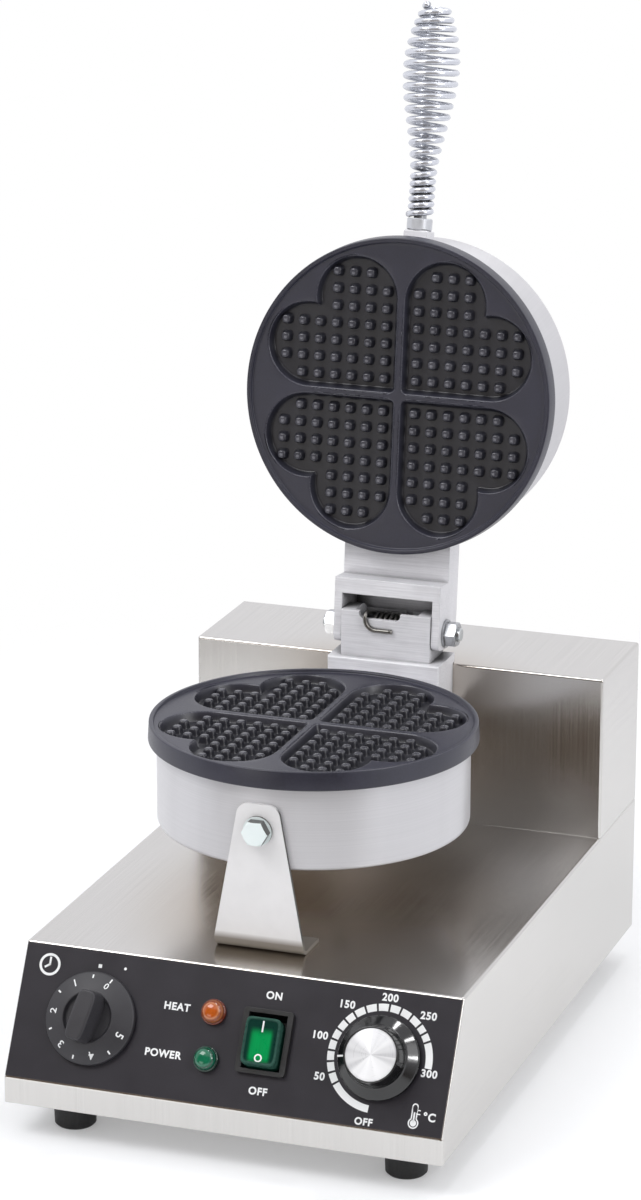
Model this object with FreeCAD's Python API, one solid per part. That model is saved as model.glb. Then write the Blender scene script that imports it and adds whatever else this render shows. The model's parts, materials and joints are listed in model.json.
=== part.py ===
import FreeCAD, Part
import math
import os

from FreeCAD import Placement, Rotation, Vector

# Heart waffle maker, in millimetres. X runs to the right, Y to the back, Z up from the table.
# Lengths in Y are measured from the top edge of the sloped front until the last step,
# which moves the whole machine so that its origin lies under the middle of its box.

# Sheet steel body
body_width = 250.0
slope_run = 36.0
slope_rise = 66.5
lip_height = 14.5
foot_height = 20.0
sheet = 1.0
bend_radius = 1.6
flange_width = 14.0
sheet_fit = 0.25
overrun = 2.0
near_zero = 0.02
quarter_turn_deg = 90.0

# Rear box and back panel
rear_depth = 76.0
rear_height = 97.0
cover_margin = 0.6
louvre_length = 46.0
louvre_width = 3.0
louvre_pitch = 8.5
louvre_count = 5
louvre_column_x = 52.0
louvre_first_z = 44.0
wire_port_width = 70.0
wire_port_depth = 36.0

# Vents of the bottom plate
vent_length = 52.0
vent_width = 4.0
vent_pitch = 14.0
vent_count = 9
vent_column_x = 45.0
vent_first_y = 90.0

# Feet
foot_top_radius = 12.3
foot_bottom_radius = 11.4
foot_round = 1.2
foot_inset = 29.5
foot_bore_radius = 2.3
foot_recess_radius = 5.2
foot_recess_depth = 9.0

# Small screws of the sheet parts
screw_radius = 2.0
screw_head_radius = 3.8
screw_head_height = 2.2
screw_length = 8.0
screw_fit = 0.1
screw_crown_share = 0.62
cover_screw_inset = 7.5
bottom_screw_shares = (0.2, 0.5, 0.8)

# Inlet for the mains lead
gland_share = -0.656
gland_z = 62.0
gland_thread_radius = 7.8
gland_thread_length = 9.0
gland_hex = 19.0
gland_hex_length = 5.0
gland_dome_radius = 8.6
gland_mouth_radius = 6.8
gland_dome_length = 13.0
gland_bore_radius = 4.5
gland_nut_length = 4.5

# Control panel: places across as shares of the half width, and down the slope
fascia_thickness = 0.8
fascia_margin = 1.1
panel_gap = 0.4
timer_share = -0.64
timer_s = 38.0
thermostat_share = 0.6728
thermostat_s = 37.6
lamp_share = -0.0912
heat_lamp_s = 25.4
power_lamp_s = 50.8
switch_share = 0.16
switch_s = 37.6

# Shafts and their nuts on the panel
shaft_radius = 3.0
shaft_fit = 0.05
shaft_length = 11.0
bush_radius = 4.6
bush_fit = 0.15
control_nut_hex = 13.0
control_nut_height = 2.4
knob_edge = 0.8

# Timer
timer_dial_radius = 25.4
timer_edge_height = 3.0
timer_ring_radius = 14.6
timer_ring_height = 7.2
timer_dish_radius = 13.8
timer_dish_height = 5.0
timer_grip_length = 29.0
timer_grip_width = 11.0
timer_grip_top_width = 7.6
timer_grip_height = 17.5
timer_grip_turn_deg = -11.0
timer_case_radius = 24.0
timer_case_depth = 32.0

# Thermostat
skirt_radius = 22.2
skirt_edge_height = 2.6
waist_radius = 16.8
waist_height = 7.0
crown_radius = 15.8
crown_height = 17.4
flank_share = 0.62
cap_radius = 15.1
cap_thickness = 1.2
cap_recess = 0.6
thermostat_case_width = 40.0
thermostat_case_height = 34.0
thermostat_case_depth = 30.0

# Indicator lamps
lens_radius = 7.0
lens_flange = 2.0
lens_height = 6.2
lamp_body_radius = 5.2
lamp_body_length = 24.0
lamp_hole_fit = 0.2

# Rocker switch
bezel_width = 28.0
bezel_height = 35.0
bezel_thickness = 2.6
bezel_corner = 2.0
switch_case_width = 24.6
switch_case_height = 32.4
switch_case_depth = 20.0
rocker_width = 21.0
rocker_pivot_lift = 1.6
rocker_swing_radius = 14.8
rocker_face_lift = 5.6
rocker_keel = 6.0
rocker_fit = 0.4
rocker_tilt_deg = 10.0
rocker_dish_margin = 2.4
rocker_dish_depth = 0.7
trunnion_radius = 1.0
trunnion_length = 1.2
trunnion_fit = 0.05
rocker_pocket_depth = 9.0

# Terminal block
terminal_width = 46.0
terminal_depth = 20.0
terminal_height = 16.0
terminal_y = 230.0
terminal_x = -60.0
terminal_hole_radius = 2.4
terminal_pitch = 14.0

# Baking plates
front_room = 26.5
rim_rise = 105.3
plate_overhang = 4.2
plate_draft = 0.6
band_height = 10.5
rim_width = 2.4
rim_edge = 0.5
land_depth = 1.8
heart_border = 12.0
heart_depth = 7.0
heart_draft = 0.6
divider_half = 3.0
lobe_share = 0.303
lobe_mid_deg = -20.0
heart_tip_radius = 3.0
spigot_depth = 9.0
spigot_fit = 0.5

# Studs of a heart, on a square grid
stud_side_room = 6.5
stud_end_room = 9.7
stud_grid = 7
stud_base = 5.6
stud_top = 3.8
stud_height = 4.5
stud_margin = 0.3

# Drums behind the plates
casing_radius = 87.0
casing_wall = 1.2
casing_edge_round = 3.0
lower_drum_height = 47.2
upper_drum_height = 48.0

# Heating elements and their pressure discs
heater_margin = 10.0
heater_radius = 3.25
heater_sweep_deg = 325.0
heater_elbow = 8.0
heater_leg = 8.0
clamp_margin = 15.0
clamp_bore_radius = 22.0
clamp_thickness = 1.5
bolt_circle_share = 0.506
plate_bolt_count = 3
plate_bolt_radius = 3.0
plate_bolt_engage = 6.0
plate_bolt_hex = 10.0
plate_bolt_head = 4.0
bolt_fit = 0.1

# Front bracket
strap_thickness = 2.0
strap_foot_half = 25.5
strap_top_half = 11.4
strap_top_room = 10.0
strap_corner = 7.0
strap_bend_radius = 6.5
strap_foot_depth = 26.0
strap_bolt_drop = 14.8
strap_screw_x = 15.0
strap_screw_back = 16.0

# Hexagon bolts and nuts of size 8
m8_radius = 4.0
m8_hex = 13.0
m8_head = 5.4
m8_nut = 6.5
m8_washer_radius = 8.2
m8_washer = 1.4
m8_chamfer = 0.6
strap_bolt_reach = 12.0

# Hinge
hinge_gap = 49.7
hinge_set_back = 8.8
hinge_rise = 12.5
closed_gap = 1.2
open_deg = 96.0
pin_fit = 0.05
knuckle_width = 54.0
knuckle_front = 14.0
knuckle_top = 12.5
knuckle_round = 12.5
stop_top_drop = 3.0
stop_bottom_drop = 10.5
stop_gap = 0.25
ledge_drop = 15.0
block_half = 34.0
block_front = 18.0
block_overhang = 12.0
block_fit = 0.3
base_stem_top_drop = 27.0
base_stem_bottom_drop = 47.0
stem_half = 32.0
saddle_gap = 0.1
stem_start_share = 0.9
spring_pocket_half = 19.0
spring_pocket_front = 11.0
spring_pocket_back = 9.5
spring_pocket_floor = 10.8
cast_edge = 1.2
base_bolt_x = 20.0
base_bolt_drop = 38.5
cast_bolt_radius = 3.0
cast_bolt_hex = 10.0
cast_bolt_head = 4.0
cast_bolt_reach = 11.0

# Hinge arm, drawn with the lid closed, around the hinge axis
cheek_gap = 0.4
cheek_thickness = 4.6
hood_under = 12.8
hood_inside = 14.2
hood_wall = 6.0
beam_inside = 20.3
beam_thickness = 9.2
cheek_end = 9.0
cheek_corner = 5.0
arm_stem_under = 2.2
arm_bolt_x = 18.0
arm_bolt_height = 14.8

# Torsion spring of the hinge
spring_wire = 2.4
spring_radius = 8.2
spring_pitch = 3.1
spring_turns = 6
spring_left_x = -11.8
spring_tip_gap = 0.1
spring_bend = 3.6
spring_rise_deg = 16.0
spring_curl = 9.0
spring_tail = 7.0
spring_seat_gap = 0.3
spring_slot_gap = 1.0
notch_left_gap = 3.0
notch_right_x = 9.0

# Handle of the lid
handle_height = 29.5
handle_tilt_deg = 6.5
lug_side = 14.0
lug_height = 6.2
lug_edge = 0.8
handle_rod_radius = 3.7
handle_rod_inside = 8.5
handle_rod_engage = 21.0
handle_nut_hex = 13.0
handle_nut_height = 5.5
handle_nut_drop = 2.6
ferrule_radius = 7.35
ferrule_length = 6.8
ferrule_edge = 0.6

# Coil grip: wire, turns and the outer radii at places along its length
grip_wire = 3.6
grip_length = 121.0
grip_seat_gap = 0.6
grip_close_turns = 5
grip_close_pitch = 4.25
grip_top_turns = 3
grip_top_pitch = 4.9
grip_turns = 22
grip_foot_radius = 7.6
grip_belly_radius = 16.4
grip_crown_radius = 7.9
grip_foot_share = 0.15
grip_belly_share = 0.70
arc_steps_per_half_turn = 24
way_step_share = 1e-4
straight_share = 1e-9


# Places worked out from the sizes above
half_width = body_width / 2
timer_x = half_width * timer_share
thermostat_x = half_width * thermostat_share
lamp_x = half_width * lamp_share
switch_x = half_width * switch_share
gland_x = half_width * gland_share
plate_center_y = front_room + casing_radius
hinge_reach = casing_radius + hinge_gap
plate_radius = casing_radius + plate_overhang
heart_reach = plate_radius - heart_border
lobe_radius = heart_reach * lobe_share
lobe_far = heart_reach - lobe_radius
stud_first = divider_half + stud_side_room
stud_pitch = (heart_reach - stud_end_room - stud_first) / (stud_grid - 1)
clamp_radius = casing_radius - clamp_margin
heater_ring_radius = clamp_radius - heater_margin
plate_bolt_circle = casing_radius * bolt_circle_share
strap_height = rim_rise - band_height - strap_top_room
strap_bolt_height = strap_height - strap_bolt_drop
body_depth = plate_center_y + hinge_reach + hinge_set_back + rear_depth
front_y = -slope_run
back_y = body_depth
slope_length = math.hypot(slope_run, slope_rise)
top_z = foot_height + lip_height + slope_rise
rear_front_y = back_y - rear_depth
rear_top_z = top_z + rear_height
rim_z = top_z + rim_rise
lid_rim_z = rim_z + closed_gap
hinge_y = plate_center_y + hinge_reach
hinge_z = rim_z + hinge_rise
lean_deg = open_deg - 90
hinge_axis = Vector(0, hinge_y, hinge_z)
plate_axis = Vector(0, plate_center_y, 0)
right = Vector(1, 0, 0)
backward = Vector(0, 1, 0)
up = Vector(0, 0, 1)
panel_turn = Rotation(right, math.degrees(math.atan2(slope_rise, slope_run)))
panel = Placement(Vector(0, 0, top_z), panel_turn)
handle_root = Vector(0, plate_center_y - casing_radius, lid_rim_z + handle_height)
handle_frame = Placement(handle_root, Rotation(right, 90 - handle_tilt_deg))
lid_opening = Placement(Vector(), Rotation(right, -open_deg), hinge_axis)


# Shape helpers

def box(low, high):
    """Block between two corners."""
    size = high - low
    return Part.makeBox(size.x, size.y, size.z, low)


def rod(radius, length, start, direction):
    """Round bar from a point along a direction."""
    return Part.makeCylinder(radius, length, start, direction)


def moved(shape, placement):
    """Copy of a shape carried by a placement."""
    copy = shape.copy()
    copy.Placement = placement.multiply(copy.Placement)
    return copy


def shifted(shape, x, y, z):
    """Copy of a shape moved along the axes."""
    return moved(shape, Placement(Vector(x, y, z), Rotation()))


def on_panel(shape, x, s, lift):
    """Copy of a shape drawn about its own Z axis, set on the slope at x and s down from its top edge."""
    return moved(shape, panel.multiply(Placement(Vector(x, -s, lift), Rotation())))


def polygon(points):
    """Closed flat wire through points."""
    return Part.makePolygon(points + points[:1])


def prism_x(outline, half):
    """Outline of (y, z) pairs carried along X to both sides."""
    wire = polygon([Vector(-half, y, z) for y, z in outline])
    return Part.Face(wire).extrude(Vector(2 * half, 0, 0))


def turned(outline):
    """Outline of (radius, z) pairs turned round the Z axis."""
    wire = polygon([Vector(r, 0, z) for r, z in outline])
    return Part.Face(wire).revolve(Vector(), up, 360)


def hexagon(across_flats, height, bore):
    """Hexagon prism on the XY plane with chamfered corners and an optional round bore."""
    corner = across_flats / math.sqrt(3)
    angles = [math.radians(60 * k) for k in range(6)]
    wire = polygon([Vector(corner * math.cos(a), corner * math.sin(a), 0) for a in angles])
    prism = Part.Face(wire).extrude(Vector(0, 0, height))
    cone_rise = (corner - across_flats / 2) * math.tan(math.radians(30))
    cone = turned([(0, 0), (corner, 0), (corner, height - cone_rise),
                   (across_flats / 2, height), (0, height)])
    solid = prism.common(cone)
    if bore > 0:
        solid = solid.cut(rod(bore, height, Vector(), up))
    return solid


def hex_bolt(across_flats, head, radius, reach):
    """Bolt with its head above the XY plane and its shank below."""
    shank = rod(radius, reach, Vector(0, 0, -reach), up)
    return hexagon(across_flats, head, 0).fuse(shank).removeSplitter()


def pan_screw():
    """Pan head screw with its head above the XY plane."""
    head = turned([(0, 0), (screw_head_radius, 0), (screw_head_radius, screw_head_height / 2),
                   (screw_head_radius * screw_crown_share, screw_head_height), (0, screw_head_height)])
    return head.fuse(rod(screw_radius, screw_length, Vector(0, 0, -screw_length), up)).removeSplitter()


aim_down = Placement(Vector(), Rotation(right, 180))
aim_back = Placement(Vector(), Rotation(right, -90))
aim_front = Placement(Vector(), Rotation(right, 90))
aim_right = Placement(Vector(), Rotation(backward, 90))
aim_left = Placement(Vector(), Rotation(backward, -90))


def screws(places, aim):
    """Group of pan head screws with their heads' seats at the places."""
    return [shifted(moved(pan_screw(), aim), p.x, p.y, p.z) for p in places]


def holes(places, direction, radius):
    """Round cutters through a sheet on both sides of the places."""
    reach = screw_length + overrun
    return [rod(radius, 2 * reach, p - direction * reach, direction) for p in places]


# Sheet steel body

def body_block(inset, back, bottom):
    """Solid of the body's side view, moved inwards by the inset on all folded sides."""
    lip_z = foot_height + lip_height + inset * (slope_rise - slope_length) / slope_run
    edge_y = inset * (slope_length - slope_run) / slope_rise
    outline = [(front_y + inset, bottom), (front_y + inset, lip_z), (edge_y, top_z - inset),
               (back, top_z - inset), (back, bottom)]
    return prism_x(outline, half_width - inset)


def folded_edges(solid, bottom, back):
    """Edges of a sheet box that are folds: all but those on its open bottom and back."""
    inside = [e for e in solid.Edges
              if e.CenterOfMass.z > bottom + near_zero and e.CenterOfMass.y < back - near_zero]
    return inside


def side_flanges(low_y, high_y, low_z, high_z):
    """Folded-in flanges on both side walls."""
    inner = half_width - sheet
    left = box(Vector(-inner, low_y, low_z), Vector(-inner + flange_width, high_y, high_z))
    return [left, left.mirror(Vector(), right)]


strap_front_y = plate_center_y - casing_radius - strap_thickness
strap_screw_places = [Vector(side * strap_screw_x, strap_front_y + strap_screw_back, top_z)
                      for side in (-1, 1)]
foot_places = [Vector(x, y, foot_height) for x in (foot_inset - half_width, half_width - foot_inset)
               for y in (front_y + foot_inset, back_y - foot_inset)]
bottom_screw_places = [Vector(side * (half_width - sheet - flange_width / 2), y, foot_height)
                       for side in (-1, 1) for y in [share * back_y for share in bottom_screw_shares]]
cover_screw_rows = (foot_height + flange_width + cover_screw_inset, top_z - flange_width,
                    top_z + flange_width, rear_top_z - cover_screw_inset - flange_width)
cover_screw_places = [Vector(side * (half_width - sheet - flange_width / 2), back_y + sheet, z)
                      for side in (-1, 1) for z in cover_screw_rows]
gland_place = Vector(gland_x, back_y, gland_z)


def panel_cutters(fit):
    """Cutters for what passes through the slope: two bushes, two lamps and the switch case."""
    depth = 2 * overrun + fascia_thickness + sheet
    start = -sheet - overrun
    bush = rod(bush_radius + fit, depth, Vector(0, 0, start), up)
    lamp = rod(lamp_body_radius + lamp_hole_fit, depth, Vector(0, 0, start), up)
    window = box(Vector(-switch_case_width / 2 - fit, -switch_case_height / 2 - fit, start),
                 Vector(switch_case_width / 2 + fit, switch_case_height / 2 + fit, start + depth))
    return [on_panel(bush, timer_x, timer_s, 0), on_panel(bush, thermostat_x, thermostat_s, 0),
            on_panel(lamp, lamp_x, heat_lamp_s, 0), on_panel(lamp, lamp_x, power_lamp_s, 0),
            on_panel(window, switch_x, switch_s, 0)]


def base_housing():
    """Folded body, open below and behind, with flanges for the bottom plate and the back panel."""
    outer = body_block(0, back_y, foot_height)
    outer = outer.makeFillet(bend_radius, folded_edges(outer, foot_height, back_y))
    shell = outer.cut(body_block(sheet, back_y + overrun, foot_height - overrun))
    flange_z = foot_height + sheet
    flanges = side_flanges(front_y + flange_width, back_y, flange_z, flange_z + sheet)
    flanges += side_flanges(back_y - sheet, back_y, flange_z + sheet, top_z - sheet)
    port = box(Vector(-wire_port_width / 2, rear_front_y + flange_width, top_z - sheet - overrun),
               Vector(wire_port_width / 2, rear_front_y + flange_width + wire_port_depth, top_z + overrun))
    cutters = panel_cutters(bush_fit) + [port]
    cutters += holes(strap_screw_places, up, screw_radius + screw_fit)
    cutters += holes(bottom_screw_places, up, screw_radius + screw_fit)
    cutters += holes(cover_screw_places, backward, screw_radius + screw_fit)
    return shell.fuse(flanges).cut(cutters).removeSplitter()


def bottom_plate():
    """Flat plate with two columns of vents, inside the body's walls and under its flanges."""
    side = half_width - sheet - sheet_fit
    plate = box(Vector(-side, front_y + sheet + sheet_fit, foot_height),
                Vector(side, back_y - sheet_fit, foot_height + sheet))
    vents = []
    for k in range(vent_count):
        for x in (-vent_column_x, vent_column_x):
            y = vent_first_y + k * vent_pitch
            vents.append(box(Vector(x - vent_length / 2, y, foot_height - overrun),
                             Vector(x + vent_length / 2, y + vent_width, foot_height + sheet + overrun)))
    vents += holes(bottom_screw_places, up, screw_radius + screw_fit)
    vents += holes(foot_places, up, screw_radius + screw_fit)
    return plate.cut(vents)


def rear_housing():
    """Folded box on the back of the body, open below and behind."""
    outer = box(Vector(-half_width, rear_front_y, top_z), Vector(half_width, back_y, rear_top_z))
    outer = outer.makeFillet(bend_radius, folded_edges(outer, top_z, back_y))
    inner = box(Vector(sheet - half_width, rear_front_y + sheet, top_z - overrun),
                Vector(half_width - sheet, back_y + overrun, rear_top_z - sheet))
    flanges = side_flanges(back_y - sheet, back_y, top_z, rear_top_z - sheet)
    cutters = holes(cover_screw_places, backward, screw_radius + screw_fit)
    cutters += holes(block_bolt_places(rear_front_y), backward, cast_bolt_radius + bolt_fit)
    return outer.cut(inner).fuse(flanges).cut(cutters).removeSplitter()


def rear_cover():
    """Flat back panel of body and box, with louvre slots in both and the inlet's hole."""
    side = half_width - cover_margin
    panel_sheet = box(Vector(-side, back_y, foot_height + cover_margin),
                      Vector(side, back_y + sheet, rear_top_z - cover_margin))
    slots = [rod(gland_thread_radius + bolt_fit, 2 * overrun + sheet, gland_place - backward * overrun,
                 backward)]
    for first_z in (louvre_first_z, top_z + rear_height / 2 - louvre_pitch * (louvre_count - 1) / 2):
        for k in range(louvre_count):
            z = first_z + k * louvre_pitch
            for x in (0, louvre_column_x):
                slots.append(box(Vector(x - louvre_length / 2, back_y - overrun, z),
                                 Vector(x + louvre_length / 2, back_y + sheet + overrun, z + louvre_width)))
    slots += holes(cover_screw_places, backward, screw_radius + screw_fit)
    return panel_sheet.cut(slots)


def cable_gland():
    """Threaded gland through the back panel, with a hexagon flange and a domed clamp nut."""
    seat = sheet
    thread = rod(gland_thread_radius, gland_thread_length + seat, Vector(0, 0, -gland_thread_length), up)
    flange = shifted(hexagon(gland_hex, gland_hex_length, 0), 0, 0, seat)
    dome_start = seat + gland_hex_length
    dome_end = dome_start + gland_dome_length
    dome = turned([(0, dome_start), (gland_dome_radius, dome_start),
                   (gland_dome_radius, dome_start + gland_dome_length / 2),
                   (gland_mouth_radius, dome_end), (0, dome_end)])
    bore_start = -gland_thread_length - overrun
    bore = rod(gland_bore_radius, dome_end + overrun - bore_start,
               Vector(0, 0, bore_start), up)
    solid = thread.fuse([flange, dome]).cut(bore).removeSplitter()
    return shifted(moved(solid, aim_back), gland_place.x, gland_place.y, gland_place.z)


def gland_nut():
    """Lock nut of the gland behind the back panel."""
    nut = hexagon(gland_hex, gland_nut_length, gland_thread_radius + bolt_fit)
    return shifted(moved(nut, aim_front), gland_place.x, gland_place.y, gland_place.z)


def rubber_feet():
    """Four tapered feet with a recess for the screw head."""
    foot = turned([(foot_bore_radius, foot_height), (foot_top_radius, foot_height),
                   (foot_bottom_radius, foot_round), (foot_bottom_radius - foot_round, 0),
                   (foot_recess_radius, 0), (foot_recess_radius, foot_recess_depth),
                   (foot_bore_radius, foot_recess_depth)])
    return [shifted(foot, p.x, p.y, 0) for p in foot_places]


def foot_screws():
    """Screws that hold the feet, with their heads on the floor of each recess."""
    length = foot_height - foot_recess_depth + sheet + screw_length / 2
    head = rod(screw_head_radius, screw_head_height, Vector(0, 0, foot_recess_depth - screw_head_height),
               up)
    screw = head.fuse(rod(screw_radius, length, Vector(0, 0, foot_recess_depth), up)).removeSplitter()
    return [shifted(screw, p.x, p.y, 0) for p in foot_places]


# Control panel

def control_fascia():
    """Thin panel on the slope, cut out for shafts, lamps and switch."""
    sheet_panel = box(Vector(fascia_margin - half_width, fascia_margin - slope_length, 0),
                      Vector(half_width - fascia_margin, -fascia_margin, fascia_thickness))
    return moved(sheet_panel, panel).cut(panel_cutters(bush_fit))


def control_body(case):
    """Case behind the slope with a threaded bush through it and a shaft that carries the knob."""
    bush_top = fascia_thickness + control_nut_height
    bush = rod(bush_radius, sheet + bush_top, Vector(0, 0, -sheet), up)
    shaft = rod(shaft_radius, shaft_length, Vector(0, 0, bush_top), up)
    return case.fuse([bush, shaft]).removeSplitter()


def timer_body():
    """Round clockwork case of the timer."""
    case = rod(timer_case_radius, timer_case_depth, Vector(0, 0, -sheet - timer_case_depth), up)
    return on_panel(control_body(case), timer_x, timer_s, 0)


def thermostat_body():
    """Square case of the thermostat."""
    case = box(Vector(-thermostat_case_width / 2, -thermostat_case_height / 2,
                      -sheet - thermostat_case_depth),
               Vector(thermostat_case_width / 2, thermostat_case_height / 2, -sheet))
    return on_panel(control_body(case), thermostat_x, thermostat_s, 0)


def control_nuts():
    """Thin nuts that clamp both control bushes on the panel."""
    nut = hexagon(control_nut_hex, control_nut_height, bush_radius + bolt_fit)
    return [on_panel(nut, timer_x, timer_s, fascia_thickness),
            on_panel(nut, thermostat_x, thermostat_s, fascia_thickness)]


def knob_bore():
    """Cutter under a knob: room for the nut, then the shaft's bore."""
    room = rod(control_nut_hex / math.sqrt(3) + panel_gap, control_nut_height + panel_gap, Vector(), up)
    bore = rod(shaft_radius + shaft_fit, control_nut_height + shaft_length, Vector(), up)
    return room.fuse(bore)


def timer_knob():
    """Dial with a sloped ring, a dished middle and a bar grip across it."""
    dial = turned([(0, 0), (timer_dial_radius, 0), (timer_dial_radius, timer_edge_height),
                   (timer_ring_radius, timer_ring_height), (timer_dish_radius, timer_ring_height),
                   (timer_dish_radius - knob_edge, timer_dish_height), (0, timer_dish_height)])
    foot = slot_wire(timer_grip_length, timer_grip_width, timer_dish_height - knob_edge)
    crown = slot_wire(timer_grip_length - timer_grip_width + timer_grip_top_width, timer_grip_top_width,
                      timer_grip_height)
    grip = Part.makeLoft([foot, crown], True, True)
    grip = moved(grip, Placement(Vector(), Rotation(up, timer_grip_turn_deg)))
    knob = dial.fuse(grip).removeSplitter().cut(knob_bore())
    return on_panel(knob, timer_x, timer_s, fascia_thickness + panel_gap)


def slot_wire(length, width, height):
    """Upright slot outline with round ends, long in Y."""
    reach = (length - width) / 2
    r = width / 2
    corners = [Vector(r, -reach, height), Vector(r, reach, height), Vector(-r, reach, height),
               Vector(-r, -reach, height)]
    far = Vector(0, reach + r, height)
    near = Vector(0, -reach - r, height)
    edges = [Part.LineSegment(corners[0], corners[1]), Part.Arc(corners[1], far, corners[2]),
             Part.LineSegment(corners[2], corners[3]), Part.Arc(corners[3], near, corners[0])]
    return Part.Wire([e.toShape() for e in edges])


def thermostat_knob():
    """Skirted knob with a hollow flank and a recess for its metal face."""
    recess_z = crown_height - cap_recess
    flank = Part.Arc(Vector(skirt_radius - knob_edge, 0, skirt_edge_height),
                     Vector((skirt_radius + waist_radius) / 2 - knob_edge, 0, waist_height * flank_share),
                     Vector(waist_radius, 0, waist_height)).toShape()
    points = [(waist_radius, waist_height), (crown_radius, crown_height),
              (cap_radius + shaft_fit, crown_height), (cap_radius + shaft_fit, recess_z),
              (0, recess_z), (0, 0), (skirt_radius, 0),
              (skirt_radius, skirt_edge_height - knob_edge), (skirt_radius - knob_edge, skirt_edge_height)]
    line = Part.makePolygon([Vector(r, 0, z) for r, z in points])
    knob = Part.Face(Part.Wire(Part.__sortEdges__([flank] + line.Edges))).revolve(Vector(), up, 360)
    return on_panel(knob.cut(knob_bore()), thermostat_x, thermostat_s, fascia_thickness + panel_gap)


def thermostat_cap():
    """Spun metal face of the thermostat knob, seated in its recess."""
    recess_z = crown_height - cap_recess
    cap = turned([(0, recess_z), (cap_radius, recess_z), (cap_radius,
                                                          recess_z + cap_thickness - cap_recess / 2),
                  (cap_radius - cap_recess / 2, recess_z + cap_thickness), (0, recess_z + cap_thickness)])
    return on_panel(cap, thermostat_x, thermostat_s, fascia_thickness + panel_gap)


def lamp_lens(s):
    """Domed lens with a flange on the panel."""
    base = turned([(0, 0), (lens_radius, 0), (lens_radius, lens_flange / 2),
                   (lens_radius - lens_flange / 2, lens_flange), (0, lens_flange)])
    dome_radius = lens_radius - lens_flange / 2
    rise = lens_height - lens_flange
    ball_radius = (dome_radius ** 2 + rise ** 2) / (2 * rise)
    ball = Part.makeSphere(ball_radius, Vector(0, 0, lens_height - ball_radius))
    dome = ball.common(rod(dome_radius, rise + overrun, Vector(0, 0, lens_flange), up))
    return on_panel(base.fuse(dome).removeSplitter(), lamp_x, s, fascia_thickness)


def lamp_bodies():
    """Bodies of both lamps behind their lenses."""
    body = rod(lamp_body_radius, lamp_body_length, Vector(0, 0, fascia_thickness - lamp_body_length), up)
    return [on_panel(body, lamp_x, heat_lamp_s, 0), on_panel(body, lamp_x, power_lamp_s, 0)]


def swing_drum(radius, half):
    """Round bar along X through the rocker's pivot."""
    return rod(radius, 2 * half, right * -half, right)


def switch_body():
    """Switch case with its bezel and the round-bottomed pocket that the rocker swings in."""
    bezel = box(Vector(-bezel_width / 2, -bezel_height / 2, fascia_thickness),
                Vector(bezel_width / 2, bezel_height / 2, fascia_thickness + bezel_thickness))
    corners = [e for e in bezel.Edges if e.Length < bezel_thickness + near_zero]
    bezel = bezel.makeFillet(bezel_corner, corners)
    case = box(Vector(-switch_case_width / 2, -switch_case_height / 2,
                      fascia_thickness - switch_case_depth),
               Vector(switch_case_width / 2, switch_case_height / 2, fascia_thickness))
    inside = rocker_width / 2 + rocker_fit
    pocket = swing_drum(rocker_swing_radius + rocker_fit, inside)
    room = box(Vector(-body_width, -body_width, -rocker_pocket_depth),
               Vector(body_width, body_width, body_width))
    trunnion_bore = swing_drum(trunnion_radius + trunnion_fit, inside + trunnion_length + trunnion_fit)
    cutters = [shifted(c, 0, 0, rocker_pivot_lift) for c in (pocket.common(room), trunnion_bore)]
    return on_panel(bezel.fuse(case).removeSplitter().cut(cutters), switch_x, switch_s, 0)


def power_rocker():
    """Rocker with round ends, a flat face with a raised border and two trunnions, pressed in at its top."""
    half = rocker_width / 2
    ends = swing_drum(rocker_swing_radius, half)
    slab = box(Vector(-half, -body_width, -rocker_keel), Vector(half, body_width, rocker_face_lift))
    face_half = math.sqrt(rocker_swing_radius ** 2 - rocker_face_lift ** 2) - rocker_dish_margin
    dish = box(Vector(rocker_dish_margin - half, -face_half, rocker_face_lift - rocker_dish_depth),
               Vector(half - rocker_dish_margin, face_half, rocker_face_lift + overrun))
    trunnions = swing_drum(trunnion_radius, half + rocker_fit + trunnion_length)
    rocker = ends.common(slab).cut(dish).fuse(trunnions).removeSplitter()
    rocker = moved(rocker, Placement(Vector(), Rotation(right, -rocker_tilt_deg)))
    return on_panel(rocker, switch_x, switch_s, rocker_pivot_lift)


def terminal_block():
    """Terminal block on the bottom plate, with three clamp holes right through."""
    base = foot_height + sheet
    block = box(Vector(terminal_x - terminal_width / 2, terminal_y, base),
                Vector(terminal_x + terminal_width / 2, terminal_y + terminal_depth,
                       base + terminal_height))
    bores = [rod(terminal_hole_radius, terminal_depth + 2 * overrun,
                 Vector(terminal_x + k * terminal_pitch, terminal_y - overrun,
                        base + terminal_height / 2), backward)
             for k in (-1, 0, 1)]
    return block.cut(bores)


# Baking plates: drawn with the rim in the XY plane, facing up

def heart_wire(inset, z):
    """Heart in the first quadrant: two straight sides from a rounded tip, two lobes that meet in a notch."""
    near = divider_half + inset
    r = lobe_radius - inset
    lobe_near = divider_half + lobe_radius
    middle = (lobe_far + lobe_near) / 2
    reach = math.sqrt(r ** 2 - 2 * ((lobe_far - lobe_near) / 2) ** 2) / math.sqrt(2)
    notch = middle + reach
    tip = heart_tip_radius
    tip_arc = near + tip - tip / math.sqrt(2)
    far_angle = math.radians(lobe_mid_deg)
    first_mid = Vector(lobe_far + r * math.cos(far_angle), lobe_near + r * math.sin(far_angle), z)
    second_mid = Vector(first_mid.y, first_mid.x, z)
    start = Vector(near + tip, near, z)
    low = Vector(lobe_far, near, z)
    cleft = Vector(notch, notch, z)
    high = Vector(near, lobe_far, z)
    end = Vector(near, near + tip, z)
    edges = [Part.LineSegment(start, low), Part.Arc(low, first_mid, cleft),
             Part.Arc(cleft, second_mid, high), Part.LineSegment(high, end),
             Part.Arc(end, Vector(tip_arc, tip_arc, z), start)]
    return Part.Wire([e.toShape() for e in edges])


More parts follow.
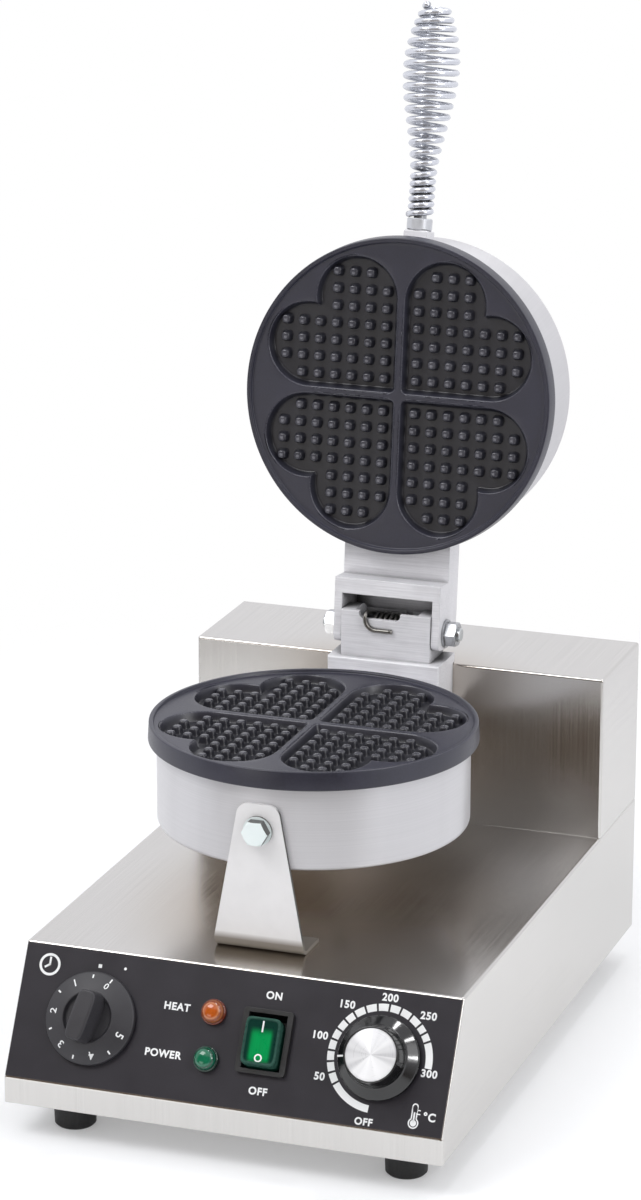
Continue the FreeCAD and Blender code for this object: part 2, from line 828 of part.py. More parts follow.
def stud():
    """Square stud that narrows to its flat top, standing on the XY plane."""
    def square(side, z):
        s = side / 2
        return [Vector(-s, -s, z), Vector(s, -s, z), Vector(s, s, z), Vector(-s, s, z)]
    low = square(stud_base, 0)
    high = square(stud_top, stud_height)
    sides = [[low[k - 1], low[k], high[k], high[k - 1]] for k in range(4)]
    faces = [Part.Face(polygon(outline)) for outline in [low[::-1], high] + sides]
    return Part.Solid(Part.Shell(faces))


def heart_hollow():
    """Hollow of one heart: its drafted pocket less the studs that stand on the pocket's floor."""
    floor_z = -land_depth - heart_depth
    walls = [heart_wire(heart_draft, floor_z), heart_wire(0, -land_depth)]
    pocket = Part.makeLoft(walls, True, True)
    edge = heart_wire(heart_draft, 0)
    floor = Part.Face(edge)
    room = stud_base / math.sqrt(2) + stud_margin
    one = stud()
    studs = []
    for i in range(stud_grid):
        for k in range(stud_grid):
            place = Vector(stud_first + i * stud_pitch, stud_first + k * stud_pitch, 0)
            clear = edge.distToShape(Part.Vertex(place))[0] > room
            if clear and floor.isInside(place, near_zero, True):
                studs.append(shifted(one, place.x, place.y, floor_z))
    return pocket.cut(studs)


def baking_plate():
    """Cast plate with a raised rim, four hearts round a cross, and a spigot that fits the drum."""
    spigot = casing_radius - casing_wall - spigot_fit
    bottom = -band_height - spigot_depth
    disc = turned([(0, bottom), (spigot, bottom), (spigot, -band_height),
                   (plate_radius + plate_draft, -band_height), (plate_radius, -rim_edge),
                   (plate_radius - rim_edge, 0), (plate_radius - rim_width, 0),
                   (plate_radius - rim_width - rim_edge, -land_depth), (0, -land_depth)])
    hollow = heart_hollow()
    hollows = [moved(hollow, Placement(Vector(), Rotation(up, 90 * k))) for k in range(4)]
    bolt_holes = [rod(plate_bolt_radius + bolt_fit, plate_bolt_engage + overrun + bolt_fit,
                      p + up * (bottom - overrun), up) for p in plate_bolt_places()]
    return disc.cut(hollows + bolt_holes)


def plate_bolt_places():
    """Places of the plate bolts on their circle, one towards the back, under the plate's cross."""
    spots = []
    for k in range(plate_bolt_count):
        angle = math.radians(quarter_turn_deg + 360 * k / plate_bolt_count)
        spots.append(Vector(plate_bolt_circle * math.cos(angle), plate_bolt_circle * math.sin(angle), 0))
    return spots


def heater():
    """Tubular element: an open ring under the spigot whose two ends bend down into straight legs."""
    z = -band_height - spigot_depth - heater_radius
    half_gap = (360 - heater_sweep_deg) / 2

    def ring_point(degrees):
        angle = math.radians(degrees)
        return Vector(heater_ring_radius * math.cos(angle), heater_ring_radius * math.sin(angle), z)

    first = quarter_turn_deg + half_gap
    points = [ring_point(first + heater_sweep_deg * k / 4) for k in range(5)]
    way = Vector(-math.sin(math.radians(first)), math.cos(math.radians(first)), 0)
    start_corner = points[0] - way * heater_elbow
    end_corner = Vector(-start_corner.x, start_corner.y, z)
    drop = up * -heater_elbow
    leg = up * -heater_leg
    foot = start_corner + drop + leg
    edges = [Part.LineSegment(foot, start_corner + drop).toShape(),
             arc_from(start_corner + drop, start_corner, points[0]),
             Part.Arc(points[0], points[1], points[2]).toShape(),
             Part.Arc(points[2], points[3], points[4]).toShape(),
             arc_from(points[4], end_corner, end_corner + drop),
             Part.LineSegment(end_corner + drop, end_corner + drop + leg).toShape()]
    return wire_solid(edges, 2 * heater_radius, foot, up)


def heater_clamp():
    """Pressure disc under the heater, bored for the bolts, with slots for the heater's legs."""
    top = -band_height - spigot_depth - 2 * heater_radius
    disc = turned([(clamp_bore_radius, top - clamp_thickness), (clamp_radius, top - clamp_thickness),
                   (clamp_radius, top), (clamp_bore_radius, top)])
    cutters = [rod(plate_bolt_radius + bolt_fit, 2 * overrun + clamp_thickness,
                   p + up * (top - clamp_thickness - overrun), up) for p in plate_bolt_places()]
    gap = math.radians((360 - heater_sweep_deg) / 2)
    half = heater_ring_radius * math.sin(gap)
    near = heater_ring_radius * math.cos(gap) - heater_radius - overrun
    cutters.append(box(Vector(-half, near, top - overrun - clamp_thickness),
                       Vector(half, clamp_radius + overrun, top + overrun)))
    return disc.cut(cutters)


def plate_bolts(drum_height):
    """Bolts from the drum's floor through the pressure disc into the plate."""
    seat = -band_height - drum_height
    reach = drum_height - spigot_depth + plate_bolt_engage
    bolt = moved(hex_bolt(plate_bolt_hex, plate_bolt_head, plate_bolt_radius, reach), aim_down)
    return [shifted(bolt, p.x, p.y, seat) for p in plate_bolt_places()]


def drum(height):
    """Spun cup under the plate's band, with a rounded floor edge and holes for the plate bolts."""
    top = -band_height
    floor = top - height
    outer = rod(casing_radius, height, Vector(0, 0, floor), up)
    low_edges = [e for e in outer.Edges if abs(e.CenterOfMass.z - floor) < casing_wall and e.Closed]
    outer = outer.makeFillet(casing_edge_round, low_edges)
    inner = rod(casing_radius - casing_wall, height, Vector(0, 0, floor + casing_wall), up)
    cutters = [rod(plate_bolt_radius + bolt_fit, 2 * overrun + casing_wall, p + up * (floor - overrun), up)
               for p in plate_bolt_places()]
    return outer.cut(inner).cut(cutters)


lower_frame = Placement(Vector(0, plate_center_y, rim_z), Rotation())
upper_frame = Placement(Vector(0, plate_center_y, lid_rim_z), Rotation(right, 180))


def casing_cylinder(gap):
    """Tall cylinder of the drums' outer radius about the plates' axis."""
    return rod(casing_radius + gap, 2 * rear_top_z, plate_axis, up)


def casing_bolts(places, length):
    """Bolts along Y with their heads inside a drum and their shanks towards the hinge."""
    bolt = moved(hex_bolt(cast_bolt_hex, cast_bolt_head, cast_bolt_radius, length), aim_front)
    return [shifted(bolt, p.x, p.y, p.z) for p in places]


def drum_bolt_places(z, x):
    """Seats of the bolts on the inner wall at the back of a drum."""
    inner = casing_radius - casing_wall
    y = plate_center_y + math.sqrt(inner ** 2 - (x + cast_bolt_hex / math.sqrt(3)) ** 2)
    return [Vector(side * x, y, z) for side in (-1, 1)]


def block_bolt_places(y):
    """Places of the bolts that hold the hinge block to the rear box."""
    return [Vector(side * base_bolt_x, y, hinge_z - base_bolt_drop) for side in (-1, 1)]


base_drum_places = drum_bolt_places(hinge_z - base_bolt_drop, arm_bolt_x)
arm_drum_places = drum_bolt_places(hinge_z + arm_bolt_height, arm_bolt_x)
drum_bolt_length = cast_bolt_reach + casing_wall + casing_radius - math.sqrt(
    casing_radius ** 2 - (arm_bolt_x + cast_bolt_hex) ** 2)


def lower_casing():
    """Lower drum with holes for the bracket's bolt and the hinge block's bolts."""
    bolt = Vector(0, plate_center_y - casing_radius, top_z + strap_bolt_height)
    cutters = holes([bolt], backward, m8_radius + bolt_fit)
    cutters += holes(base_drum_places, backward, cast_bolt_radius + bolt_fit)
    return moved(drum(lower_drum_height), lower_frame).cut(cutters)


def upper_casing():
    """Lid drum with holes for the hinge arm's bolts and the handle's rod."""
    cutters = holes(arm_drum_places, backward, cast_bolt_radius + bolt_fit)
    cutters.append(moved(rod(handle_rod_radius + bolt_fit, 2 * handle_rod_inside,
                             Vector(0, 0, -handle_rod_inside), up), handle_frame))
    return moved(drum(upper_drum_height), upper_frame).cut(cutters)


# Front bracket

def front_bracket():
    """Folded strap: a tapered upright with round top corners and a foot under the drum."""
    y = strap_front_y
    t = strap_thickness
    bend = strap_bend_radius
    turn = bend / math.sqrt(2)
    outer_mid = Vector(0, y + bend - turn, top_z + bend - turn)
    inner_turn = (bend - t) / math.sqrt(2)
    inner_mid = Vector(0, y + bend - inner_turn, top_z + bend - inner_turn)
    spots = [Vector(0, y, top_z + strap_height), Vector(0, y, top_z + bend), Vector(0, y + bend, top_z),
             Vector(0, y + strap_foot_depth, top_z), Vector(0, y + strap_foot_depth, top_z + t),
             Vector(0, y + bend, top_z + t), Vector(0, y + t, top_z + bend),
             Vector(0, y + t, top_z + strap_height)]
    edges = [Part.LineSegment(spots[0], spots[1]), Part.Arc(spots[1], outer_mid, spots[2]),
             Part.LineSegment(spots[2], spots[3]), Part.LineSegment(spots[3], spots[4]),
             Part.LineSegment(spots[4], spots[5]), Part.Arc(spots[5], inner_mid, spots[6]),
             Part.LineSegment(spots[6], spots[7]), Part.LineSegment(spots[7], spots[0])]
    folded = Part.Face(Part.Wire([e.toShape() for e in edges])).extrude(right * (2 * strap_foot_half))
    folded = shifted(folded, -strap_foot_half, 0, 0)
    front = polygon([Vector(-strap_foot_half, y - overrun, top_z - overrun),
                     Vector(strap_foot_half, y - overrun, top_z - overrun),
                     Vector(strap_foot_half, y - overrun, top_z + bend),
                     Vector(strap_top_half, y - overrun, top_z + strap_height),
                     Vector(-strap_top_half, y - overrun, top_z + strap_height),
                     Vector(-strap_foot_half, y - overrun, top_z + bend)])
    outline = Part.Face(front).extrude(backward * (strap_foot_depth + 2 * overrun))
    top_edges = [e for e in outline.Edges
                 if min(v.Z for v in e.Vertexes) > top_z + strap_height - near_zero
                 and abs(e.Vertexes[0].Y - e.Vertexes[1].Y) > overrun]
    outline = outline.makeFillet(strap_corner, top_edges)
    bolt = Vector(0, y, top_z + strap_bolt_height)
    cutters = holes([bolt], backward, m8_radius + bolt_fit)
    cutters += holes(strap_screw_places, up, screw_radius + screw_fit)
    return folded.common(outline).cut(cutters)


def bracket_bolt():
    """Hexagon bolt with its washer on the strap's front."""
    washer = turned([(0, 0), (m8_washer_radius, 0), (m8_washer_radius, m8_washer), (0, m8_washer)])
    reach = strap_bolt_reach + strap_thickness
    bolt = shifted(hex_bolt(m8_hex, m8_head, m8_radius, reach + m8_washer), 0, 0, m8_washer)
    solid = bolt.fuse(washer).removeSplitter()
    return shifted(moved(solid, aim_front), 0, strap_front_y, top_z + strap_bolt_height)


def bracket_nut():
    """Nut of the bracket's bolt on the inside of the drum."""
    nut = hexagon(m8_hex, m8_nut, m8_radius + bolt_fit)
    wall_y = plate_center_y - math.sqrt((casing_radius - casing_wall) ** 2 - (m8_hex / math.sqrt(3)) ** 2)
    return shifted(moved(nut, aim_back), 0, wall_y, top_z + strap_bolt_height)


def bracket_screws():
    """Screws of the strap's foot."""
    return screws([p + up * strap_thickness for p in strap_screw_places], Placement())


# Hinge: outlines are (y, z) about the hinge axis

def at_hinge(shape):
    """Copy of a shape drawn about the hinge axis, carried to its place."""
    return shifted(shape, 0, hinge_y, hinge_z)


def leaned(y, z):
    """Point turned back by the angle at which the open lid leans."""
    a = math.radians(lean_deg)
    return y * math.cos(a) + z * math.sin(a), z * math.cos(a) - y * math.sin(a)


def knuckle():
    """Knuckle with a flat front, a round top at the back and the stop for the open lid."""
    stop = hood_inside - stop_gap
    outline = [(-knuckle_front, -ledge_drop), (-knuckle_front, knuckle_top), (0, knuckle_top)]
    start = polygon([Vector(0, y, z) for y, z in outline]).Edges[:2]
    stop_top = leaned(stop, -stop_top_drop)
    stop_low = leaned(stop, -stop_bottom_drop)
    halfway = knuckle_round / math.sqrt(2)
    crown_end = Vector(0, knuckle_round, 0)
    crown = Part.Arc(Vector(0, 0, knuckle_top), Vector(0, halfway, halfway), crown_end).toShape()
    rest = Part.makePolygon([crown_end, Vector(0, *stop_top), Vector(0, *stop_low),
                             Vector(0, block_overhang, -ledge_drop),
                             Vector(0, -knuckle_front, -ledge_drop)]).Edges
    face = Part.Face(Part.Wire(Part.__sortEdges__(start + [crown] + rest)))
    return shifted(face.extrude(right * knuckle_width), -knuckle_width / 2, 0, 0)


def hinge_base():
    """Casting that carries the hinge: block on the rear box, knuckle above it, stem to the drum."""
    seat_y = rear_front_y - hinge_y
    seat_z = rear_top_z - hinge_z + block_fit
    block = prism_x([(-block_front, -base_stem_bottom_drop), (seat_y, -base_stem_bottom_drop),
                     (seat_y, seat_z), (block_overhang, seat_z), (block_overhang, -ledge_drop),
                     (-block_front, -ledge_drop)],
                    block_half)
    front_edges = [e for e in block.Edges if abs(e.CenterOfMass.y + block_front) < cast_edge]
    block = block.makeFillet(cast_edge, front_edges)
    stem = box(Vector(-stem_half, casing_radius * stem_start_share - hinge_reach, -base_stem_bottom_drop),
               Vector(stem_half, -block_front + cast_edge, -base_stem_top_drop))
    solid = block.fuse([knuckle(), stem]).removeSplitter()
    pocket = box(Vector(-spring_pocket_half, -spring_pocket_front, -spring_pocket_floor),
                 Vector(spring_pocket_half, spring_pocket_back, knuckle_top + overrun))
    bore = rod(m8_radius + pin_fit, knuckle_width + 2 * overrun, right * -(knuckle_width / 2 + overrun),
               right)
    solid = at_hinge(solid.cut([pocket, bore] + spring_cutters()))
    cutters = [casing_cylinder(saddle_gap)]
    cutters += holes(block_bolt_places(rear_front_y), backward, cast_bolt_radius + bolt_fit)
    cutters += [rod(cast_bolt_radius + bolt_fit, drum_bolt_length + overrun, p,
                    backward) for p in base_drum_places]
    return solid.cut(cutters)


def spring_cutters():
    """Notch in the knuckle's front wall for the hooked leg and slot in its back wall for the other leg."""
    floor = spring_hook_corner().z - spring_hook_lead()
    left_x = spring_left_x - spring_wire / 2 - notch_left_gap
    notch = box(Vector(left_x, -knuckle_front - overrun, floor),
                Vector(notch_right_x, -spring_pocket_front + overrun, knuckle_top + overrun))
    corner_edges = [e for e in notch.Edges if abs(e.CenterOfMass.z - floor) < near_zero
                    and abs(e.Vertexes[0].X - e.Vertexes[1].X) < near_zero]
    notch = notch.makeFillet(spring_bend, corner_edges)
    tail_x = spring_left_x + spring_pitch * spring_coils()
    slot_half = spring_wire / 2 + spring_slot_gap
    slot = box(Vector(tail_x - slot_half, 0, -spring_radius),
               Vector(tail_x + slot_half, hood_inside, knuckle_top))
    return [notch, slot]


def base_bolts():
    """Bolts of the hinge block: two from the rear box and two from the lower drum."""
    box_bolt = moved(hex_bolt(cast_bolt_hex, cast_bolt_head, cast_bolt_radius, cast_bolt_reach), aim_back)
    from_box = [shifted(box_bolt, p.x, p.y, p.z) for p in block_bolt_places(rear_front_y + sheet)]
    return from_box + casing_bolts(base_drum_places, drum_bolt_length)


def hinge_pin():
    """Threaded pin through the knuckle and both cheeks."""
    reach = arm_half + m8_washer + m8_nut + overrun
    pin = turned([(0, -reach), (m8_radius - m8_chamfer, -reach), (m8_radius, m8_chamfer - reach),
                  (m8_radius, reach - m8_chamfer), (m8_radius - m8_chamfer, reach), (0, reach)])
    return at_hinge(moved(pin, aim_right))


arm_half = knuckle_width / 2 + cheek_gap + cheek_thickness


def hinge_nuts():
    """Nuts and washers on both ends of the pin."""
    washer = turned([(m8_radius + bolt_fit, 0), (m8_washer_radius, 0), (m8_washer_radius, m8_washer),
                     (m8_radius + bolt_fit, m8_washer)])
    nut = shifted(hexagon(m8_hex, m8_nut, m8_radius + bolt_fit), 0, 0, m8_washer)
    stack = nut.fuse(washer).removeSplitter()
    return [shifted(moved(stack, aim_right), arm_half, hinge_y, hinge_z),
            shifted(moved(stack, aim_left), -arm_half, hinge_y, hinge_z)]


def hinge_arm():
    """Casting of the lid's hinge: hood over the knuckle with two cheeks, and a stem to the lid's drum."""
    top = hood_inside + hood_wall
    beam_front = -beam_inside - beam_thickness
    hood = prism_x([(beam_front, -hood_under), (cheek_end, -hood_under), (cheek_end, top),
                    (beam_front, top)], arm_half)
    ends = [e for e in hood.Edges if abs(e.CenterOfMass.y - cheek_end) < cast_edge
            and abs(e.Vertexes[0].X - e.Vertexes[1].X) > arm_half]
    hood = hood.makeFillet(cheek_corner, ends)
    inner = knuckle_width / 2 + cheek_gap
    room = box(Vector(-inner, -beam_inside, -hood_under - overrun),
               Vector(inner, cheek_end + overrun, hood_inside))
    stem = box(Vector(-arm_half, casing_radius * stem_start_share - hinge_reach, arm_stem_under),
               Vector(arm_half, beam_front + cast_edge, top))
    bore = rod(m8_radius + pin_fit, 2 * (arm_half + overrun), right * -(arm_half + overrun), right)
    solid = at_hinge(hood.fuse(stem).removeSplitter().cut([room, bore]))
    cutters = [casing_cylinder(saddle_gap)]
    cutters += [rod(cast_bolt_radius + bolt_fit, drum_bolt_length + overrun, p,
                    backward) for p in arm_drum_places]
    return solid.cut(cutters)


# Wire forms: arcs in pairs follow a curve, and a round section runs along them

def arc_from(start, control, end):
    """Circular arc with tangents towards and from a control point at equal distance from both ends."""
    leg = (control - start).Length
    weight = (end - start).Length / (2 * leg)
    middle = (start + control * (2 * weight) + end) * (1 / (2 + 2 * weight))
    return Part.Arc(start, middle, end).toShape()


def biarc(start, start_way, end, end_way):
    """Two arcs that leave a point in one direction and reach another point in another."""
    chord = end - start
    both = start_way + end_way
    a = 2 * (1 - start_way.dot(end_way))
    b = 2 * chord.dot(both)
    c = -chord.dot(chord)
    leg = (-b + math.sqrt(b * b - 4 * a * c)) / (2 * a) if a > straight_share else -c / b
    first = start + start_way * leg
    second = end - end_way * leg
    joint = (first + second) * 0.5
    return [arc_from(start, first, joint), arc_from(joint, second, end)]


def wire_solid(edges, wire, start, way):
    """Round wire along a chain of edges."""
    section = Part.Wire(Part.makeCircle(wire / 2, start, way))
    sweep = Part.BRepOffsetAPI.MakePipeShell(Part.Wire(edges))
    sweep.add(section)
    sweep.build()
    sweep.makeSolid()
    return sweep.shape()


def curve_way(curve, t):
    """Direction of a curve at a parameter, from two points close by."""
    way = curve(t + way_step_share) - curve(t - way_step_share)
    return way.normalize()


def half_turn_arcs(curve, first, last):
    """Arcs along a curve of turns, a pair for each half turn."""
    count = round(2 * (last - first))
    marks = [first + (last - first) * k / count for k in range(count + 1)]
    edges = []
    for low, high in zip(marks, marks[1:]):
        edges += biarc(curve(low), curve_way(curve, low), curve(high), curve_way(curve, high))
    return edges


def least_gap(curve, first, last, wire):
    """Least clear distance between neighbouring turns, measured on points of the curve."""
    steps = 2 * arc_steps_per_half_turn
    count = int((last - first) * steps)
    points = [curve(first + (last - first) * k / count) for k in range(count + 1)]
    gap = math.inf
    for k in range(count - steps // 2):
        for other in points[k + steps // 2:k + steps + steps // 2]:
            gap = min(gap, (other - points[k]).Length - wire)
    return gap


def grip_height(turn):
    """Height of the grip's wire: close turns, then wide ones, then closer ones at the top."""
    wide_turns = grip_turns - grip_close_turns - grip_top_turns
    close = grip_close_turns * grip_close_pitch
    top = grip_top_turns * grip_top_pitch
    wide_pitch = (grip_length - grip_wire - close - top) / wide_turns
    knots = [(0, 0), (grip_close_turns, close), (grip_turns - grip_top_turns,
                                                 close + wide_turns * wide_pitch),
             (grip_turns, close + wide_turns * wide_pitch + top)]
    for (t0, h0), (t1, h1) in zip(knots, knots[1:]):
        if turn <= t1 or t1 == grip_turns:
            return h0 + (turn - t0) * (h1 - h0) / (t1 - t0)


def smooth(share):
    """Rise from 0 to 1 that is level at both ends."""
    share = min(max(share, 0), 1)
    return share * share * (3 - 2 * share)


def grip_outer(share):
    """Outer radius of the grip at a share of its length: slim foot, full belly, drawn-in crown."""
    rise = smooth((share - grip_foot_share) / (grip_belly_share - grip_foot_share))
    fall = max(share - grip_belly_share, 0) / (1 - grip_belly_share)
    body = grip_foot_radius + (grip_belly_radius - grip_foot_radius) * rise
    return body - (grip_belly_radius - grip_crown_radius) * fall * fall


def grip_curve(turn):
    """Centre line of the grip's wire in the handle's frame, from the ferrule up."""
    height = grip_height(turn)
    radius = grip_outer(height / (grip_length - grip_wire)) - grip_wire / 2
    angle = 2 * math.pi * turn
    foot = lug_height + ferrule_length + grip_seat_gap + grip_wire / 2
    return Vector(radius * math.cos(angle), radius * math.sin(angle), foot + height)


def handle_coil():
    """Open coil grip: one wire from the ferrule to the crown, straight for one wire width at both ends."""
    first_way = curve_way(grip_curve, 0)
    last_way = curve_way(grip_curve, grip_turns)
    foot = grip_curve(0)
    crown = grip_curve(grip_turns)
    start = foot - first_way * grip_wire
    edges = [Part.LineSegment(start, foot).toShape()]
    edges += half_turn_arcs(grip_curve, 0, grip_turns)
    edges.append(Part.LineSegment(crown, crown + last_way * grip_wire).toShape())
    print("least gap of the grip's turns:", round(least_gap(grip_curve, 0, grip_turns, grip_wire), 3))
    return moved(wire_solid(edges, grip_wire, start, first_way), handle_frame)


def spring_lean():
    """Angle, from the back, at which the free leg of the hinge spring leaves its coil."""
    reach = hood_inside - spring_wire / 2 - spring_tip_gap
    return math.degrees(math.acos(spring_radius / reach)) - lean_deg


def spring_coils():
    """Turns of the hinge spring between its two legs."""
    return spring_turns + (90 - spring_rise_deg - spring_lean()) / 360


def spring_curve(turn):
    """Centre line of the hinge spring's coil about the hinge axis, from the free leg to the hooked leg."""
    angle = math.radians(spring_lean() + 360 * turn)
    x = spring_left_x + spring_pitch * (spring_coils() - turn)
    return Vector(x, spring_radius * math.cos(angle), spring_radius * math.sin(angle))


def spring_hook_corner():
    """Point, about the hinge axis, where the rising hooked leg would meet the plane of its hook."""
    rise = math.radians(spring_rise_deg)
    front = -knuckle_front - spring_seat_gap - spring_wire / 2
    run = spring_radius * math.sin(rise) - front
    return Vector(spring_left_x, front, spring_radius * math.cos(rise) + run * math.tan(rise))


def spring_hook_lead():
    """Length from the hook's corner to both ends of its bend."""
    return spring_bend * math.tan(math.radians(90 + spring_rise_deg) / 2)


def hinge_spring():
    """Torsion spring round the pin: a free leg against the hood, a leg hooked over the knuckle's front."""
    turns = spring_coils()
    reach = hood_inside - spring_wire / 2 - spring_tip_gap
    free_leg = math.sqrt(reach ** 2 - spring_radius ** 2)
    first_way = curve_way(spring_curve, 0)
    coil_start = spring_curve(0)
    start = coil_start - first_way * free_leg
    rise = math.radians(spring_rise_deg)
    rise_way = Vector(0, -math.cos(rise), math.sin(rise))
    coil_end = spring_curve(turns)
    corner = spring_hook_corner()
    over = corner - rise_way * spring_hook_lead()
    down = corner - up * spring_hook_lead()
    curl_corner = down - up * spring_curl
    curl = curl_corner + right * spring_curl
    tail = curl + right * spring_tail
    edges = [Part.LineSegment(start, coil_start).toShape()]
    edges += half_turn_arcs(spring_curve, 0, turns)
    edges += biarc(coil_end, curve_way(spring_curve, turns), over, rise_way)
    edges += [arc_from(over, corner, down), arc_from(down, curl_corner, curl)]
    edges.append(Part.LineSegment(curl, tail).toShape())
    print("least gap of the hinge spring's turns:", round(least_gap(spring_curve, 0, turns, spring_wire),
                                                          3))
    return at_hinge(wire_solid(edges, spring_wire, start, first_way))


# Handle: drawn along Z from the drum's wall

def handle_lug():
    """Square lug on the lid's drum, bored for the handle's rod."""
    half = lug_side / 2
    block = box(Vector(-half, -half, -casing_edge_round), Vector(half, half, lug_height))
    top_edges = [e for e in block.Edges if e.CenterOfMass.z > lug_height - lug_edge]
    block = block.makeChamfer(lug_edge, top_edges)
    start = Vector(0, 0, -casing_edge_round)
    bore = rod(handle_rod_radius + bolt_fit, 2 * lug_height + casing_edge_round, start, up)
    return moved(block.cut(bore), handle_frame).cut(casing_cylinder(saddle_gap))


def handle_rod():
    """Rod from inside the drum through lug and ferrule into the grip's close turns."""
    length = handle_rod_inside + lug_height + ferrule_length + handle_rod_engage
    return moved(rod(handle_rod_radius, length, Vector(0, 0, -handle_rod_inside), up), handle_frame)


def handle_nut():
    """Nut of the handle's rod inside the drum."""
    nut = hexagon(handle_nut_hex, handle_nut_height, handle_rod_radius + bolt_fit)
    return moved(shifted(moved(nut, aim_down), 0, 0, -handle_nut_drop), handle_frame)


def handle_ferrule():
    """Collar between the lug and the grip."""
    bore = handle_rod_radius + bolt_fit
    low = lug_height
    high = lug_height + ferrule_length
    ring = turned([(bore, low), (ferrule_radius - ferrule_edge, low), (ferrule_radius, low + ferrule_edge),
                   (ferrule_radius, high - ferrule_edge), (ferrule_radius - ferrule_edge, high),
                   (bore, high)])
    return moved(ring, handle_frame)


# Assembly: the lid is drawn closed and then swung open

fixed_pieces = {
    "base_housing": base_housing(),
    "bottom_plate": bottom_plate(),
    "bottom_screws": screws(bottom_screw_places, aim_down),
    "rear_housing": rear_housing(),
    "rear_cover": rear_cover(),
    "rear_screws": screws(cover_screw_places, aim_back),
    "cable_gland": cable_gland(),
    "gland_nut": gland_nut(),
    "rubber_feet": rubber_feet(),
    "foot_screws": foot_screws(),
    "control_fascia": control_fascia(),
    "timer_body": timer_body(),
    "thermostat_body": thermostat_body(),
    "control_nuts": control_nuts(),
    "timer_knob": timer_knob(),
    "thermostat_knob": thermostat_knob(),
    "thermostat_cap": thermostat_cap(),
    "heat_lens": lamp_lens(heat_lamp_s),
    "power_lens": lamp_lens(power_lamp_s),
    "lamp_bodies": lamp_bodies(),
    "switch_body": switch_body(),
    "power_rocker": power_rocker(),
    "terminal_block": terminal_block(),
    "lower_casing": lower_casing(),
    "lower_plate": moved(baking_plate(), lower_frame),
    "lower_heater": moved(heater(), lower_frame),
    "lower_clamp": moved(heater_clamp(), lower_frame),
    "lower_bolts": [moved(b, lower_frame) for b in plate_bolts(lower_drum_height)],
    "front_bracket": front_bracket(),
    "bracket_bolt": bracket_bolt(),
    "bracket_nut": bracket_nut(),
    "bracket_screws": bracket_screws(),
    "hinge_base": hinge_base(),
    "base_bolts": base_bolts(),
    "hinge_spring": hinge_spring(),
}
lid_pieces = {
    "hinge_pin": hinge_pin(),
    "hinge_nuts": hinge_nuts(),
    "hinge_arm": hinge_arm(),
    "arm_bolts": casing_bolts(arm_drum_places, drum_bolt_length),
    "upper_casing": upper_casing(),
    "upper_plate": moved(baking_plate(), upper_frame),
    "upper_heater": moved(heater(), upper_frame),
    "upper_clamp": moved(heater_clamp(), upper_frame),
    "upper_bolts": [moved(b, upper_frame) for b in plate_bolts(upper_drum_height)],
    "handle_lug": handle_lug(),
    "handle_rod": handle_rod(),
    "handle_nut": handle_nut(),
    "handle_ferrule": handle_ferrule(),
    "handle_coil": handle_coil(),
}


def as_shape(piece):
    """One shape for a piece or for a group of like pieces."""
    return Part.makeCompound(piece) if isinstance(piece, list) else piece


pieces = {name: as_shape(piece) for name, piece in fixed_pieces.items()}
pieces.update({name: moved(as_shape(piece), lid_opening) for name, piece in lid_pieces.items()})
whole = Part.makeCompound(list(pieces.values())).optimalBoundingBox(False, False)
centring = Placement(Vector(0, -(whole.YMin + whole.YMax) / 2, 0), Rotation())
print("moved along Y:", round(centring.Base.y, 4), "front and back:", round(whole.YMin, 3),
      round(whole.YMax, 3))

os.makedirs("parts", exist_ok=True)
for name, piece in pieces.items():
    moved(piece, centring).exportStep(os.path.join("parts", name + ".step"))
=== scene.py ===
import json
import math

import bmesh
import bpy
import numpy as np
from mathutils import Matrix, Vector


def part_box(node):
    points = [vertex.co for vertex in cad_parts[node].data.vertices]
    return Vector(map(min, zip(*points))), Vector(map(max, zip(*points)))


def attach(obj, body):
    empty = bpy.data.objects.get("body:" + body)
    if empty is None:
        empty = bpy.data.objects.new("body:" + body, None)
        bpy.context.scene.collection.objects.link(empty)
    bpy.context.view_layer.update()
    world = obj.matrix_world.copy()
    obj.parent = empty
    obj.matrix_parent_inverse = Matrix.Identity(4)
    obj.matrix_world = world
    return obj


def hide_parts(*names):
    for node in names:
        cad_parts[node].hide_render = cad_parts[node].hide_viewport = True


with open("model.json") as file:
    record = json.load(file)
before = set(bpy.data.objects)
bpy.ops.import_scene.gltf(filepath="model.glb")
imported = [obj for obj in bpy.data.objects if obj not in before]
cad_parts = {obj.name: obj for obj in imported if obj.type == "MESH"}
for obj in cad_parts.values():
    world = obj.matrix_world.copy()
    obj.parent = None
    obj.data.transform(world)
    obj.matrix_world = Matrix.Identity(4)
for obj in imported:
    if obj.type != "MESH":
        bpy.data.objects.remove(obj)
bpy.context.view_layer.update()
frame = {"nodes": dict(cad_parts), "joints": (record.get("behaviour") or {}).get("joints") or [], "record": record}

joints = {joint["name"]: joint for joint in frame["joints"]}

# Measures of the dressed pieces, in millimetres, degrees, shares and counts
mm = 0.001
x_axis, y_axis, z_axis = 0, 1, 2

plate_radius = 91.2
plate_foot_flare = 0.6
plate_band = 10.5
plate_rim = 2.4
plate_rim_slope = 0.5
plate_edge = 0.7
plate_land = -1.8
plate_spigot_radius = 85.3
plate_spigot_end = -19.5
land_reach = 86.2
land_tuck = 0.04
lid_gap = 1.2
round_segments = 200

heart_depth = 5.2
heart_gap = 2.0
heart_lobe_radius = 24.5
heart_lobe_near = 26.5
heart_lobe_far = 54.7
heart_tip_radius = 3.0
heart_middle = 28.0
heart_points = {"tip": 7, "side": 33, "lobe": 62, "notch": 6}

